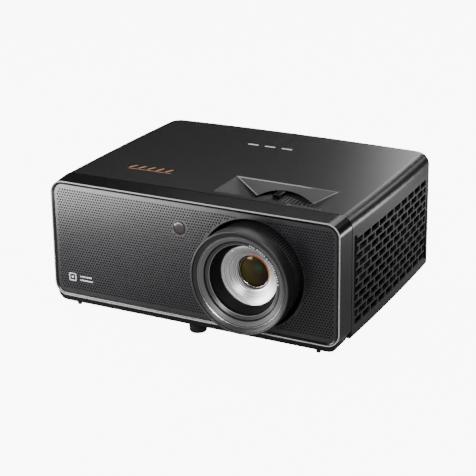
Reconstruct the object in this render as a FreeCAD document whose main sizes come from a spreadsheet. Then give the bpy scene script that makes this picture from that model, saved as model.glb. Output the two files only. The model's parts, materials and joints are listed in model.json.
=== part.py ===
"""Home projector: every separate piece as an object of one parametric document.

Millimetres, +Z up. The lens looks along -Y, the connectors face +Y, and the feet stand on z = 0.
"""
import FreeCAD, Part
import Sketcher
import math
import os
import re

SIZES = {
    # case
    "case_width": 378,
    "face_height": 147,
    "face_y": -135,
    "back_y": 165,
    "edge_z": 26,
    "face_corner": 16.5,
    "collar_depth": 30,
    "collar_flare": 2,
    "bezel": 4.2,
    "trim_width": 1.4,
    "trim_depth": 1.2,
    "panel_inset": 2,
    "panel_thick": 3,
    "seam": 0.6,
    "wall": 2.6,
    "rear_taper": 3.5,
    "bow_radius": 3900,
    "back_corner": 22,
    "top_fillet": 14,
    "crown_rise": 2.2,
    "crown_radius": 8100,
    "parting": 5,
    "plinth_drop": 7,
    "plinth_width": 330,
    "plinth_back": 12,
    "chin_width": 372,
    "chin_corner": 12,
    "chin_front": 1.5,
    "band_round": 3.6,
    # side grilles
    "grille_start": 6,
    "grille_length": 241,
    "grille_low": 11,
    "grille_height": 111.5,
    "grille_thick": 3,
    "slot_length": 20.8,
    "slot_height": 7.3,
    "slot_pitch": 23.5,
    "slot_rows": 9.6,
    "slot_margin": 2.5,
    "slot_base": 3.9,
    # lens
    "lens_x": 79,
    "lens_rise": 70.8,
    "hood_reach": 30,
    "hood_radius": 61.8,
    "cutout_radius": 66,
    "well_depth": 36,
    "well_thick": 1.4,
    "well_taper": 2.4,
    "barrel_radius": 50,
    "bore_radius": 44,
    "barrel_front": 14,
    "barrel_back": 150,
    "running_fit": 0.05,
    "hood_lip": 59.6,
    "hood_bore": 53.2,
    "hood_end": 20,
    "step_radius": 47.4,
    "step_mouth": 42,
    "cone_mouth": 41.6,
    "cone_neck": 36,
    "cone_end": 27,
    "silver_end": 41,
    "silver_neck": 20,
    "retainer_radius": 24,
    "retainer_mouth": 17.6,
    "retainer_end": 50,
    "focus_radius": 60,
    "focus_front": 20.6,
    "focus_back": 52,
    "zoom_radius": 69,
    "zoom_front": 76,
    "zoom_back": 118,
    "zoom_wall": 3,
    "glass_radius": 22,
    "glass_curve": 110,
    "mount_plate": 116,
    "mount_thick": 5,
    # top recess
    "recess_width": 134,
    "recess_front": 40,
    "recess_back": 100,
    "recess_floor_width": 70,
    "recess_depth": 16,
    "recess_slope": 8,
    "recess_thick": 1.8,
    "recess_trim": 0.9,
    # indicators and marks
    "bar_length": 15,
    "bar_width": 3.6,
    "bar_pitch": 23.6,
    "bar_x": -3.5,
    "bar_y": 222,
    "window_radius": 8.35,
    "window_x": -13,
    "window_rise": 112,
    # rear panel
    "rear_width": 330,
    "rear_low": 12,
    "rear_height": 116,
    "rear_thick": 2.5,
    "rear_inset": 1.5,
    # keypad
    "key_x": 128,
    "key_rise": 92,
    "key_spacing": 15,
    "key_radius": 5,
    "key_gap": 0.25,
    # feet
    "foot_front_x": -5.5,
    "foot_front_y": 28,
    "foot_front_radius": 11.8,
    "foot_rear_x": 150,
    "foot_rear_y": 262,
    "foot_rear_radius": 13,
    "foot_height": 16.5,
    "stem_radius": 4,
    "nut_radius": 7.5,
    "nut_height": 12,
    "stop_x": 160,
    "stop_y": 9,
    "stop_drop": 5.5,
    # ceiling mount
    "mount_x": 110,
    "mount_y": 78,
    "mount_span": 150,
    "insert_radius": 4,
    "thread_radius": 2,
    "insert_height": 9,
    # case screws
    "screw_x": 140,
    "screw_radius": 1.5,
    "screw_head": 3.2,
    "screw_length": 7,
    # fans
    "fan_size": 92,
    "fan_depth": 25,
    "fan_bore": 43.5,
    "fan_tip": 42,
    "fan_hub": 18,
    "left_fan_x": 5,
    "left_fan_y": 90,
    "left_fan_rise": 58,
    "right_fan_x": 30,
    "right_fan_y": 80,
    "right_fan_rise": 62,
    # mains inlet
    "inlet_x": 110,
    "inlet_rise": 24,
    "inlet_width": 27,
    "inlet_height": 22,
    "inlet_wall": 1.5,
    # rear sockets and vents
    "socket_depth": 16,
    "socket_wall": 0.8,
    "jack_radius": 4,
    "jack_bore": 2.2,
    "vent_x": -150,
    "vent_pitch": 24,
    "vent_width": 18,
    "vent_height": 4,
    "vent_rise": 78,
    "vent_rows": 10,
    # light engine
    "engine_x": 20,
    "engine_width": 118,
    "engine_depth": 85,
    "engine_height": 130,
    "engine_wall": 4,
    "beam_radius": 8,
    "beam_rise": 40,
    "laser_x": -50,
    "laser_size": 70,
    "laser_depth": 60,
    "sink_depth": 40,
    "sink_base": 6,
    "fin_pitch": 7.5,
    "fin_thick": 2.4,
    # colour wheel
    "wheel_x": 60,
    "wheel_rise": 75,
    "wheel_radius": 32,
    "wheel_hub": 9,
    "motor_radius": 14,
    "motor_length": 14,
    "spindle_radius": 2,
    # power supply and loudspeakers
    "supply_x": -150,
    "supply_y": 60,
    "supply_width": 88,
    "supply_depth": 150,
    "supply_height": 52,
    "supply_wall": 1.5,
    "speaker_radius": 25,
    "speaker_depth": 22,
    "speaker_rise": 75,
}
GRILLE_ROWS = 11
GRILLE_COLUMNS = 10
REAR_VENTS = 9
FAN_BLADES = 7
SINK_FINS = 10

doc = FreeCAD.newDocument("HomeProjector")
sheet = doc.addObject("Spreadsheet::Sheet", "Sizes")
for row, (alias, value) in enumerate(SIZES.items(), start=1):
    sheet.set(f"A{row}", alias)
    sheet.set(f"B{row}", str(value))
    sheet.setAlias(f"B{row}", alias)
doc.recompute()

ALIAS = re.compile(r"\b(" + "|".join(SIZES) + r")\b")
AXES = {
    "x": FreeCAD.Rotation(FreeCAD.Vector(0, 1, 0), 90),
    "y": FreeCAD.Rotation(FreeCAD.Vector(1, 0, 0), -90),
    "z": FreeCAD.Rotation(),
}
nodes = []

FACE = "face_y"
HOOD = "face_y - hood_reach"
LENS_Z = "edge_z + lens_rise"
BASE = "edge_z - plinth_drop"
FLOOR = "edge_z - plinth_drop + wall"
COLLAR_BACK = "face_y + collar_depth"


# ---------------------------------------------------------------- drawing helpers

def bind(obj, **sizes):
    """Binds properties to expressions written with the sheet's aliases."""
    for prop, text in sizes.items():
        obj.setExpression(prop, ALIAS.sub(r"Sizes.\1", str(text)))


def place(obj, x, y, z):
    """Binds an object's position."""
    for axis, text in zip("xyz", (x, y, z)):
        obj.setExpression(f"Placement.Base.{axis}", ALIAS.sub(r"Sizes.\1", str(text)))
    return obj


def box(name, x, y, z, dx, dy, dz):
    """A block with its low corner at x, y, z."""
    obj = doc.addObject("Part::Box", name)
    bind(obj, Length=dx, Width=dy, Height=dz)
    return place(obj, x, y, z)


def rod(name, axis, radius, length, x, y, z):
    """A cylinder that starts at x, y, z and runs along +axis."""
    obj = doc.addObject("Part::Cylinder", name)
    obj.Placement = FreeCAD.Placement(FreeCAD.Vector(), AXES[axis])
    bind(obj, Radius=radius, Height=length)
    return place(obj, x, y, z)


def cone(name, axis, start, end, length, x, y, z):
    """A cone from radius start to radius end along +axis."""
    obj = doc.addObject("Part::Cone", name)
    obj.Placement = FreeCAD.Placement(FreeCAD.Vector(), AXES[axis])
    bind(obj, Radius1=start, Radius2=end, Height=length)
    return place(obj, x, y, z)


def fuse(name, parts):
    """Several solids in one object."""
    obj = doc.addObject("Part::MultiFuse", name)
    obj.Shapes = parts
    return obj


def group(name, parts):
    """Separate solids of the same kind kept in one node."""
    obj = doc.addObject("Part::Compound", name)
    obj.Links = parts
    return obj


def cut(name, base, tools):
    """The base with each tool taken away."""
    obj = doc.addObject("Part::Cut", name)
    obj.Base = base
    obj.Tool = tools[0] if len(tools) == 1 else fuse(name + "_tools", tools)
    return obj


def common(name, first, second):
    """The space that two solids share."""
    obj = doc.addObject("Part::Common", name)
    obj.Base = first
    obj.Tool = second
    return obj


def tube(name, axis, outer, inner, length, x, y, z):
    """A straight tube along +axis."""
    wall = rod(name + "_outer", axis, outer, length, x, y, z)
    hole = rod(name + "_hole", axis, inner, length, x, y, z)
    return cut(name, wall, [hole])


def origin_plane(body, role):
    """The origin plane of a body with the given role."""
    return next(item for item in body.Origin.OriginFeatures if item.Role == role)


def new_sketch(body, name, role):
    """A sketch flat on one of its body's origin planes."""
    sketch = body.newObject("Sketcher::SketchObject", name)
    sketch.AttachmentSupport = [(origin_plane(body, role), "")]
    sketch.MapMode = "FlatFace"
    return sketch


def pin(sketch, index, across, along):
    """Ties the start of one edge to the sketch's origin."""
    for kind, line, text in (("DistanceX", -2, across), ("DistanceY", -1, along)):
        if str(text) == "0":
            sketch.addConstraint(Sketcher.Constraint("PointOnObject", index, 1, line))
            continue
        row = sketch.addConstraint(Sketcher.Constraint(kind, -1, 1, index, 1, 10.0))
        bind(sketch, **{f"Constraints[{row}]": text})


def polygon(body, name, role, points):
    """A closed outline through points written as (across, along) expressions."""
    sketch = new_sketch(body, name, role)
    count = len(points)
    ring = [
        FreeCAD.Vector(20 + 10 * math.cos(math.tau * i / count), 20 + 10 * math.sin(math.tau * i / count), 0)
        for i in range(count)
    ]
    for i in range(count):
        sketch.addGeometry(Part.LineSegment(ring[i], ring[(i + 1) % count]))
    for i in range(count):
        sketch.addConstraint(Sketcher.Constraint("Coincident", i, 2, (i + 1) % count, 1))
    for i, (across, along) in enumerate(points):
        pin(sketch, i, across, along)
    return sketch


def turned(name, points):
    """A piece turned about the lens axis from (radius, distance behind the hood's front) points."""
    body = doc.addObject("PartDesign::Body", name)
    place(body, "lens_x", HOOD, LENS_Z)
    sketch = polygon(body, name + "_profile", "XY_Plane", points)
    turn = body.newObject("PartDesign::Revolution", name + "_turn")
    turn.Profile = sketch
    turn.ReferenceAxis = (sketch, ["V_Axis"])
    turn.Angle = 360
    sketch.Visibility = False
    return body


def edges_along(shape, axis):
    """Names of the straight edges that run along one axis."""
    names = []
    for number, edge in enumerate(shape.Edges, start=1):
        ends = [vertex.Point for vertex in edge.Vertexes]
        if len(ends) == 2 and abs(abs((ends[1] - ends[0]).normalize()["xyz".index(axis)]) - 1) < 1e-6:
            names.append(f"Edge{number}")
    return names


def rounded(name, axis, radius, x, y, z, dx, dy, dz):
    """A block with the four edges along one axis rounded."""
    body = doc.addObject("PartDesign::Body", name)
    place(body, x, y, z)
    block = body.newObject("PartDesign::AdditiveBox", name + "_block")
    bind(block, Length=dx, Width=dy, Height=dz)
    doc.recompute()
    fillet = body.newObject("PartDesign::Fillet", name + "_rounding")
    fillet.Base = (block, edges_along(block.Shape, axis))
    bind(fillet, Radius=radius)
    return body


def node(label, obj):
    """Marks an object as one finished piece; its label names its file."""
    obj.Label = label
    nodes.append(obj)
    return obj


# ---------------------------------------------------------------- case shells

def bowed_pad(name, inset, low, high, front):
    """The case's plan outline, with gently bowed sides, drawn up from low to high."""
    body = doc.addObject("PartDesign::Body", name)
    place(body, 0, 0, low)
    sketch = new_sketch(body, name + "_plan", "XY_Plane")
    shrink = SIZES.get(inset, 0)
    half = SIZES["case_width"] / 2 + SIZES["collar_flare"] - shrink
    rear = half - SIZES["rear_taper"]
    start = SIZES["face_y"] + SIZES["collar_depth"]
    end = SIZES["back_y"] - shrink
    bulge = half + 1
    middle = (start + end) / 2
    corners = [
        FreeCAD.Vector(-half, start, 0),
        FreeCAD.Vector(half, start, 0),
        FreeCAD.Vector(rear, end, 0),
        FreeCAD.Vector(-rear, end, 0),
    ]
    sketch.addGeometry(Part.LineSegment(corners[0], corners[1]))
    sketch.addGeometry(Part.Arc(corners[1], FreeCAD.Vector(bulge, middle, 0), corners[2]))
    sketch.addGeometry(Part.LineSegment(corners[2], corners[3]))
    sketch.addGeometry(Part.Arc(corners[3], FreeCAD.Vector(-bulge, middle, 0), corners[0]))
    front_half = f"case_width / 2 + collar_flare - {inset}"
    ends = {(0, 1): -1, (0, 2): 1, (2, 1): 1, (2, 2): -1}
    for (edge, end_number), sign in ends.items():
        wide = front_half if edge == 0 else front_half + " - rear_taper"
        deep = front if edge == 0 else f"back_y - {inset}"
        across = sketch.addConstraint(
            Sketcher.Constraint("DistanceX", -1, 1, edge, end_number, sign * (half if edge == 0 else rear)))
        along = sketch.addConstraint(
            Sketcher.Constraint("DistanceY", -1, 1, edge, end_number, start if edge == 0 else end))
        bind(sketch, **{f"Constraints[{across}]": f"{sign} * ({wide})", f"Constraints[{along}]": deep})
    sketch.addConstraint(Sketcher.Constraint("Coincident", 0, 2, 1, 1))
    sketch.addConstraint(Sketcher.Constraint("Coincident", 1, 2, 2, 1))
    sketch.addConstraint(Sketcher.Constraint("Coincident", 2, 2, 3, 1))
    sketch.addConstraint(Sketcher.Constraint("Coincident", 3, 2, 0, 1))
    for edge in (1, 3):
        row = sketch.addConstraint(Sketcher.Constraint("Radius", edge, float(SIZES["bow_radius"])))
        bind(sketch, **{f"Constraints[{row}]": "bow_radius"})
    pad = body.newObject("PartDesign::Pad", name + "_pad")
    pad.Profile = sketch
    bind(pad, Length=f"({high}) - ({low})")
    sketch.Visibility = False
    doc.recompute()
    back = [
        f"Edge{number}"
        for number, edge in enumerate(pad.Shape.Edges, start=1)
        if edge.CenterOfMass.y > 100 and edge.BoundBox.ZLength > 1 and edge.BoundBox.XLength < 0.1
    ]
    fillet = body.newObject("PartDesign::Fillet", name + "_corners")
    fillet.Base = (pad, back)
    bind(fillet, Radius=f"back_corner - {inset}")
    return body


def case_block(name, inset, low):
    """The case's outer or inner form: bowed plan, crowned roof, rounded shoulders."""
    front = COLLAR_BACK + " + seam" if inset == "0" else COLLAR_BACK + " - 1"
    plan = bowed_pad(name + "_plan", inset, low, "edge_z + face_height + 6", front)
    roof = doc.addObject("Part::Cylinder", name + "_roof")
    roof.Placement = FreeCAD.Placement(FreeCAD.Vector(), AXES["y"])
    bind(roof, Radius=f"crown_radius - {inset}", Height="400")
    place(roof, 0, -200, "edge_z + face_height + crown_rise - crown_radius")
    block = common(name + "_block", plan, roof)
    doc.recompute()
    top = max(vertex.Z for vertex in block.Shape.Vertexes)
    radius = SIZES["top_fillet"] - SIZES.get(inset, 0)
    collar_back = SIZES["face_y"] + SIZES["collar_depth"]
    shoulder = [
        (number, radius, radius)
        for number, edge in enumerate(block.Shape.Edges, start=1)
        if edge.CenterOfMass.z > top - 8 and edge.BoundBox.ZLength < 8
        and edge.BoundBox.YMin > collar_back - 5
        and edge.CenterOfMass.y > collar_back + 5
    ]
    fillet = doc.addObject("Part::Fillet", name)
    fillet.Base = block
    fillet.Edges = shoulder
    return fillet


def recess_wedge(name, grow, deeper):
    """The sloped well in the roof over the zoom ring."""
    wedge = doc.addObject("Part::Wedge", name)
    wedge.Placement = FreeCAD.Placement(FreeCAD.Vector(), FreeCAD.Rotation(FreeCAD.Vector(1, 0, 0), -90))
    side = "(recess_width - recess_floor_width) / 2"
    bind(
        wedge,
        Xmin="0",
        Xmax=f"recess_width + 2 * {grow}",
        X2min=side,
        X2max=f"{side} + recess_floor_width + 2 * {grow}",
        Zmin="0",
        Zmax=f"recess_back - recess_front + 2 * {grow}",
        Z2min="0",
        Z2max=f"recess_back - recess_front - recess_slope + 2 * {grow}",
        Ymin="0",
        Ymax=f"recess_depth + crown_rise + {deeper}",
    )
    return place(
        wedge,
        f"lens_x - recess_width / 2 - {grow}",
        f"face_y + recess_front - {grow}",
        "edge_z + face_height + crown_rise",
    )


def bars(name, grow, low, high):
    """Three round-ended bars in a row across the roof."""
    solids = []
    for i in (-1, 0, 1):
        solids.append(rounded(
            f"{name}_{i + 2}", "z", f"bar_width / 2 + {grow} - 0.01",
            f"bar_x + {i} * bar_pitch - bar_length / 2 - {grow}",
            f"face_y + bar_y - bar_width / 2 - {grow}", low,
            f"bar_length + 2 * {grow}", f"bar_width + 2 * {grow}", f"({high}) - ({low})"))
    return solids


def top_cover():
    """The upper shell: roof, side frames and the back frame."""
    outer = case_block("cover_outer", "0", "edge_z + parting")
    inner = case_block("cover_inner", "wall", "edge_z + parting - 1")
    sides = [
        box(f"cover_side_{side}", x, "face_y + collar_depth + grille_start", "edge_z + grille_low",
            "20", "grille_length", "grille_height")
        for side, x in (("right", "case_width / 2 - 12"), ("left", "-case_width / 2 - 8"))
    ]
    back = box("cover_back", "-rear_width / 2", "back_y - 10", "edge_z + rear_low",
               "rear_width", "20", "rear_height")
    well = recess_wedge("cover_recess", "recess_thick", "0")
    slots = bars("cover_slot", "0.1", "edge_z + face_height - 8", "edge_z + face_height + 8")
    return node("top_cover", cut("top_cover", outer, [inner, *sides, back, well, *slots]))


def softened_band(band):
    """The tray's band with its lower side and back edges rounded."""
    doc.recompute()
    low = band.Shape.BoundBox.ZMin
    front = band.Shape.BoundBox.YMin
    soft = doc.addObject("Part::Fillet", "tray_band_soft")
    soft.Base = band
    soft.Edges = [
        (number, SIZES["band_round"], SIZES["band_round"])
        for number, edge in enumerate(band.Shape.Edges, start=1)
        if edge.BoundBox.ZMax < low + 0.1 and edge.BoundBox.YMax > front + 0.1
    ]
    return soft


def bottom_case():
    """The lower tray: a thin band at the parting line over a narrower plinth."""
    band = softened_band(
        bowed_pad("tray_band", "0", "edge_z + 0.4", "edge_z + parting - 0.4", COLLAR_BACK + " + seam"))
    hollow = bowed_pad("tray_hollow", "wall", "edge_z + wall", "edge_z + parting + 1",
                       COLLAR_BACK + " + wall")
    plinth = rounded(
        "tray_plinth", "z", "back_corner", "-plinth_width / 2", "face_y + collar_depth + seam",
        BASE, "plinth_width",
        "back_y - plinth_back - face_y - collar_depth - seam", "plinth_drop + 1")
    basin = rounded(
        "tray_basin", "z", "back_corner - wall", "-plinth_width / 2 + wall",
        "face_y + collar_depth + seam + wall", FLOOR, "plinth_width - 2 * wall",
        "back_y - plinth_back - face_y - collar_depth - seam - 2 * wall", "plinth_drop + 10")
    bosses = []
    holes = []
    for number, (x, y) in enumerate(MOUNTS, start=1):
        bosses.append(rod(f"mount_boss_{number}", "z", "insert_radius + 3", "insert_height + 3", x, y, BASE))
        holes.append(rod(f"mount_hole_{number}", "z", "insert_radius", "insert_height", x, y, BASE))
        holes.append(rod(f"mount_relief_{number}", "z", "thread_radius", "insert_height + 2", x, y, BASE))
    for foot, (x, y) in FEET.items():
        bosses.append(rod(f"{foot}_boss", "z", "nut_radius + 3", "nut_height + 2", x, y, BASE))
        holes.append(rod(f"{foot}_seat", "z", "nut_radius", "nut_height", x, y, BASE))
        holes.append(rod(f"{foot}_bore", "z", "stem_radius + 0.6", "nut_height + 10", x, y, BASE))
    for number, (x, y) in enumerate(SCREWS, start=1):
        holes.append(rod(f"screw_sink_{number}", "z", "screw_head + 0.2", "1.6", x, y, BASE))
        holes.append(rod(f"screw_hole_{number}", "z", "screw_radius", "screw_length + 1", x, y, BASE))
    tray = cut("tray_shell", fuse("tray_solid", [band, plinth]), [hollow, basin])
    return node("bottom_case", cut("bottom_case", fuse("tray_bossed", [tray, *bosses]), holes))


MOUNTS = [
    (f"{sx} * mount_x", f"face_y + mount_y + {row} * mount_span") for sx in (-1, 1) for row in (0, 1)
]
FEET = {
    "front_foot": ("foot_front_x", "face_y + foot_front_y"),
    "left_rear_foot": ("-foot_rear_x", "face_y + foot_rear_y"),
    "right_rear_foot": ("foot_rear_x", "face_y + foot_rear_y"),
}
SCREWS = [
    (f"{sx} * screw_x", f"face_y + {y}") for sx in (-1, 1) for y in (60, 150, 225)
]


def front_collar():
    """The gloss band round the front, with its bezel lip and the chin below the face."""
    body = doc.addObject("PartDesign::Body", "collar_form")
    place(body, 0, "face_y + trim_depth", 0)
    front = rounded_frame(body, "collar_front", "0", "0")
    back = rounded_frame(body, "collar_back", "collar_flare", "collar_depth - trim_depth")
    loft = body.newObject("PartDesign::AdditiveLoft", "collar_loft")
    loft.Profile = front
    loft.Sections = [back]
    chin = rounded(
        "collar_chin", "y", "chin_corner", "-chin_width / 2", "face_y + chin_front", BASE,
        "chin_width", "collar_depth - chin_front", "plinth_drop + 2 * face_corner")
    inside = rounded(
        "collar_inside", "y", "face_corner - bezel", "-case_width / 2 + bezel", "face_y - 1", "edge_z + bezel",
        "case_width - 2 * bezel", "collar_depth + 2", "face_height - 2 * bezel")
    notch = rod("collar_notch", "z", "nut_radius + 3.3", "nut_height + 4", *FEET["front_foot"], BASE)
    return node("front_collar", cut("front_collar", fuse("collar_solid", [body, chin]), [inside, notch]))


def rounded_frame(body, name, grow, depth):
    """A rounded rectangle as wide and high as the front face, at some depth behind it."""
    sketch = new_sketch(body, name, "XZ_Plane")
    bind(sketch, **{"AttachmentOffset.Base.z": f"-({depth})"})
    half = SIZES["case_width"] / 2
    low = SIZES["edge_z"]
    high = low + SIZES["face_height"]
    radius = SIZES["face_corner"]
    spots = [(half - radius, low), (half, low + radius), (half, high - radius), (half - radius, high),
             (radius - half, high), (-half, high - radius), (-half, low + radius), (radius - half, low)]
    points = [FreeCAD.Vector(x, z, 0) for x, z in spots]
    centres = [FreeCAD.Vector(half - radius, low + radius, 0), FreeCAD.Vector(half - radius, high - radius, 0),
               FreeCAD.Vector(radius - half, high - radius, 0), FreeCAD.Vector(radius - half, low + radius, 0)]
    for i, centre in enumerate(centres):
        circle = Part.Circle(centre, FreeCAD.Vector(0, 0, 1), radius)
        start = math.pi / 2 * (i - 1)
        sketch.addGeometry(Part.ArcOfCircle(circle, start, start + math.pi / 2))
        sketch.addGeometry(Part.LineSegment(points[2 * i + 1], points[(2 * i + 2) % 8]))
    for i in range(4):
        sketch.addConstraint(Sketcher.Constraint("Tangent", 2 * i, 2, 2 * i + 1, 1))
        sketch.addConstraint(Sketcher.Constraint("Tangent", 2 * i + 1, 2, (2 * i + 2) % 8, 1))
    for i in (2, 4, 6):
        sketch.addConstraint(Sketcher.Constraint("Equal", 0, i))
    sketch.addConstraint(Sketcher.Constraint("Vertical", 1))
    sketch.addConstraint(Sketcher.Constraint("Horizontal", 3))
    sketch.addConstraint(Sketcher.Constraint("Vertical", 5))
    rows = {
        ("Radius", 0, radius): f"face_corner + {grow}",
        ("DistanceX", -1, 1, 0, 3, half - radius): "case_width / 2 - face_corner",
        ("DistanceX", 4, 3, -1, 1, half - radius): "case_width / 2 - face_corner",
        ("DistanceY", -1, 1, 0, 3, low + radius): "edge_z + face_corner",
        ("DistanceY", -1, 1, 2, 3, high - radius): "edge_z + face_height - face_corner",
    }
    for constraint, text in rows.items():
        row = sketch.addConstraint(Sketcher.Constraint(*constraint))
        bind(sketch, **{f"Constraints[{row}]": text})
    sketch.Visibility = False
    return sketch


def front_trim():
    """The thin bright edge round the face."""
    outer = rounded("trim_outer", "y", "face_corner", "-case_width / 2", FACE, "edge_z",
                    "case_width", "trim_depth", "face_height")
    inner = rounded("trim_inner", "y", "face_corner - trim_width", "-case_width / 2 + trim_width", "face_y - 1",
                    "edge_z + trim_width", "case_width - 2 * trim_width", "trim_depth + 2",
                    "face_height - 2 * trim_width")
    return node("front_trim", cut("front_trim", outer, [inner]))


def front_panel():
    """The dimpled fascia with its lens and receiver holes."""
    plate = rounded("fascia_plate", "y", "face_corner - bezel", "-case_width / 2 + bezel",
                    "face_y + panel_inset", "edge_z + bezel", "case_width - 2 * bezel", "panel_thick",
                    "face_height - 2 * bezel")
    lens_hole = rod("fascia_lens_hole", "y", "cutout_radius", "20", "lens_x", "face_y - 5", LENS_Z)
    window_hole = rod("fascia_window_hole", "y", "window_radius", "20", "window_x", "face_y - 5",
                      "edge_z + window_rise")
    return node("front_panel", cut("front_panel", plate, [lens_hole, window_hole]))


def side_grille(label, sign):
    """A side panel with brick-pattern slots; it follows the case's bow."""
    skin = case_skin(label, sign)
    cells = []
    for row in range(GRILLE_ROWS):
        shift = row % 2
        for step in range(GRILLE_COLUMNS - shift):
            cells.append((row, f"({step} + {shift} / 2) * slot_pitch", "slot_length"))
        if shift:
            cells.append((row, "0", "slot_length - slot_pitch / 2"))
            cells.append((row, f"({GRILLE_COLUMNS} - 1 / 2) * slot_pitch", "slot_length - slot_pitch / 2"))
    low_x = "case_width / 2 - 30" if sign > 0 else "-case_width / 2 - 30"
    slots = [
        box(f"{label}_slot_{number}", low_x,
            f"face_y + collar_depth + grille_start + slot_margin + {along}",
            f"edge_z + grille_low + slot_base + {row} * slot_rows",
            "60", length, "slot_height")
        for number, (row, along, length) in enumerate(cells, start=1)]
    return node(label, cut(label, skin, [group(label + "_slot_set", slots)]))


def case_skin(label, sign):
    """The stretch of the case's side that the grille fills."""
    outer = bowed_pad(label + "_outer", "0", "edge_z + grille_low", "edge_z + grille_low + grille_height",
                      COLLAR_BACK)
    inner = bowed_pad(label + "_inner", "grille_thick", "edge_z", "edge_z + face_height", COLLAR_BACK + " - 10")
    x = "case_width / 2 - 12" if sign > 0 else "-case_width / 2 - 8"
    span = box(label + "_span", x, "face_y + collar_depth + grille_start", "edge_z + grille_low",
               "20", "grille_length", "grille_height")
    return common(label + "_skin", cut(label + "_wall", outer, [inner]), span)


# ---------------------------------------------------------------- lens

def lens_pieces():
    """The lens, piece by piece, from the hood inwards."""
    back = "focus_front - 0.6"
    node("lens_hood", turned("lens_hood", [
        ("hood_lip", "0"), ("hood_radius - 0.6", "0"), ("hood_radius", "0.6"), ("hood_radius", f"{back} - 1"),
        ("hood_radius - 1", back), ("barrel_radius", back), ("barrel_radius", "barrel_front"),
        ("hood_bore", "barrel_front"), ("hood_bore", "4")]))
    node("lens_step_ring", turned("lens_step_ring", [
        ("hood_bore", "4.4"), ("hood_bore", "barrel_front"), ("step_mouth", "barrel_front"),
        ("step_mouth", "11"), ("step_radius", "7.8"), ("step_radius", "7")]))
    node("lens_inner_cone", turned("lens_inner_cone", [
        ("cone_mouth", "barrel_front"), ("bore_radius", "barrel_front"), ("bore_radius", "cone_end"),
        ("cone_neck", "cone_end")]))
    node("lens_silver_cone", turned("lens_silver_cone", [
        ("cone_neck", "cone_end"), ("bore_radius", "cone_end"), ("bore_radius", "cone_end + 3"),
        ("cone_neck + 1.5", "cone_end + 3"), ("silver_neck + 1.5", "silver_end"),
        ("silver_neck", "silver_end - 1.6")]))
    node("lens_retainer", turned("lens_retainer", [
        ("retainer_mouth", "silver_end - 0.6"), ("silver_neck", "silver_end - 1.2"),
        ("silver_neck + 1.2", "silver_end"), ("retainer_radius", "silver_end"),
        ("retainer_radius", "retainer_end"), ("glass_radius", "retainer_end"),
        ("glass_radius", "silver_end + 1.25"), ("retainer_mouth", "silver_end + 0.35")]))
    node("lens_barrel", turned("lens_barrel", [
        ("bore_radius", "barrel_front"), ("barrel_radius", "barrel_front"), ("barrel_radius", "barrel_back"),
        ("bore_radius", "barrel_back"), ("bore_radius", "retainer_end"), ("retainer_radius", "retainer_end"),
        ("retainer_radius", "44"), ("bore_radius", "44")]))
    inner = "barrel_radius + running_fit"
    node("focus_ring", turned("focus_ring", [
        (inner, "focus_front"), ("focus_radius - 1", "focus_front"), ("focus_radius", "focus_front + 1"),
        ("focus_radius", "focus_back - 1"), ("focus_radius - 1", "focus_back"), (inner, "focus_back")]))
    hub = inner + " + zoom_wall"
    rim = "zoom_radius - zoom_wall"
    middle = "(zoom_front + zoom_back) / 2"
    node("zoom_ring", turned("zoom_ring", [
        (inner, "zoom_front + 8"), (hub, "zoom_front + 8"), (hub, f"{middle} - 2"),
        (rim, f"{middle} - 2"), (rim, "zoom_front"), ("zoom_radius", "zoom_front"), ("zoom_radius", "zoom_back"),
        (rim, "zoom_back"), (rim, f"{middle} + 2"), (hub, f"{middle} + 2"), (hub, "zoom_back - 8"),
        (inner, "zoom_back - 8")]))
    lever = rounded("lever_block", "y", "1.2", "lens_x - 4.5", "face_y - hood_reach + zoom_back - 20",
                    f"{LENS_Z} + zoom_radius - 2", "9", "16", "7.5")
    seat = rod("lever_seat", "y", "zoom_radius", "60", "lens_x", "face_y + recess_front", LENS_Z)
    node("zoom_lever", cut("zoom_lever", lever, [seat]))
    curve = doc.addObject("Part::Sphere", "glass_curve_form")
    bind(curve, Radius="glass_curve")
    place(curve, "lens_x", f"{HOOD} + 40.2 + glass_curve", LENS_Z)
    blank = rod("glass_blank", "y", "glass_radius", "9.8", "lens_x", f"{HOOD} + 40", LENS_Z)
    node("front_lens_element", common("front_lens_element", blank, curve))
    node("rear_lens_element", rod("rear_lens_element", "y", "bore_radius", "8", "lens_x",
                                  f"{HOOD} + barrel_back - 10", LENS_Z))
    plate = rounded("mount_plate_form", "y", "8", "lens_x - mount_plate / 2", f"{HOOD} + zoom_back + 8",
                    f"{LENS_Z} - mount_plate / 2", "mount_plate", "mount_thick", "mount_plate")
    bore = rod("mount_bore", "y", "barrel_radius", "20", "lens_x", f"{HOOD} + zoom_back", LENS_Z)
    node("lens_mount", cut("lens_mount", plate, [bore]))
    cup = cone("well_cup", "y", "cutout_radius", "cutout_radius - well_taper", "well_depth", "lens_x",
               "face_y + panel_inset", LENS_Z)
    hollow = cone("well_hollow", "y", "cutout_radius - well_thick", "cutout_radius - well_thick - well_taper",
                  "well_depth", "lens_x", "face_y + panel_inset", LENS_Z)
    node("lens_well", cut("lens_well", cup, [hollow]))


def recess_pieces():
    """The sloped well over the zoom ring and its two bright corner strips."""
    shell = case_block("recess_skin", "0", "edge_z + face_height - 30")
    outer = common("recess_outer", recess_wedge("recess_outer_wedge", "recess_thick", "0"), shell)
    hollow = recess_wedge("recess_hollow", "0", "0")
    sweep = rod("recess_sweep", "y", "zoom_radius + 1.5", "recess_back", "lens_x",
                "face_y + recess_front - 5", LENS_Z)
    node("recess_trim", group("recess_trim", [recess_strip(side, "strip") for side in (-1, 1)]))
    seats = [recess_strip(side, "seat") for side in (-1, 1)]
    node("control_recess", cut("control_recess", outer, [hollow, sweep, *seats]))


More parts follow.
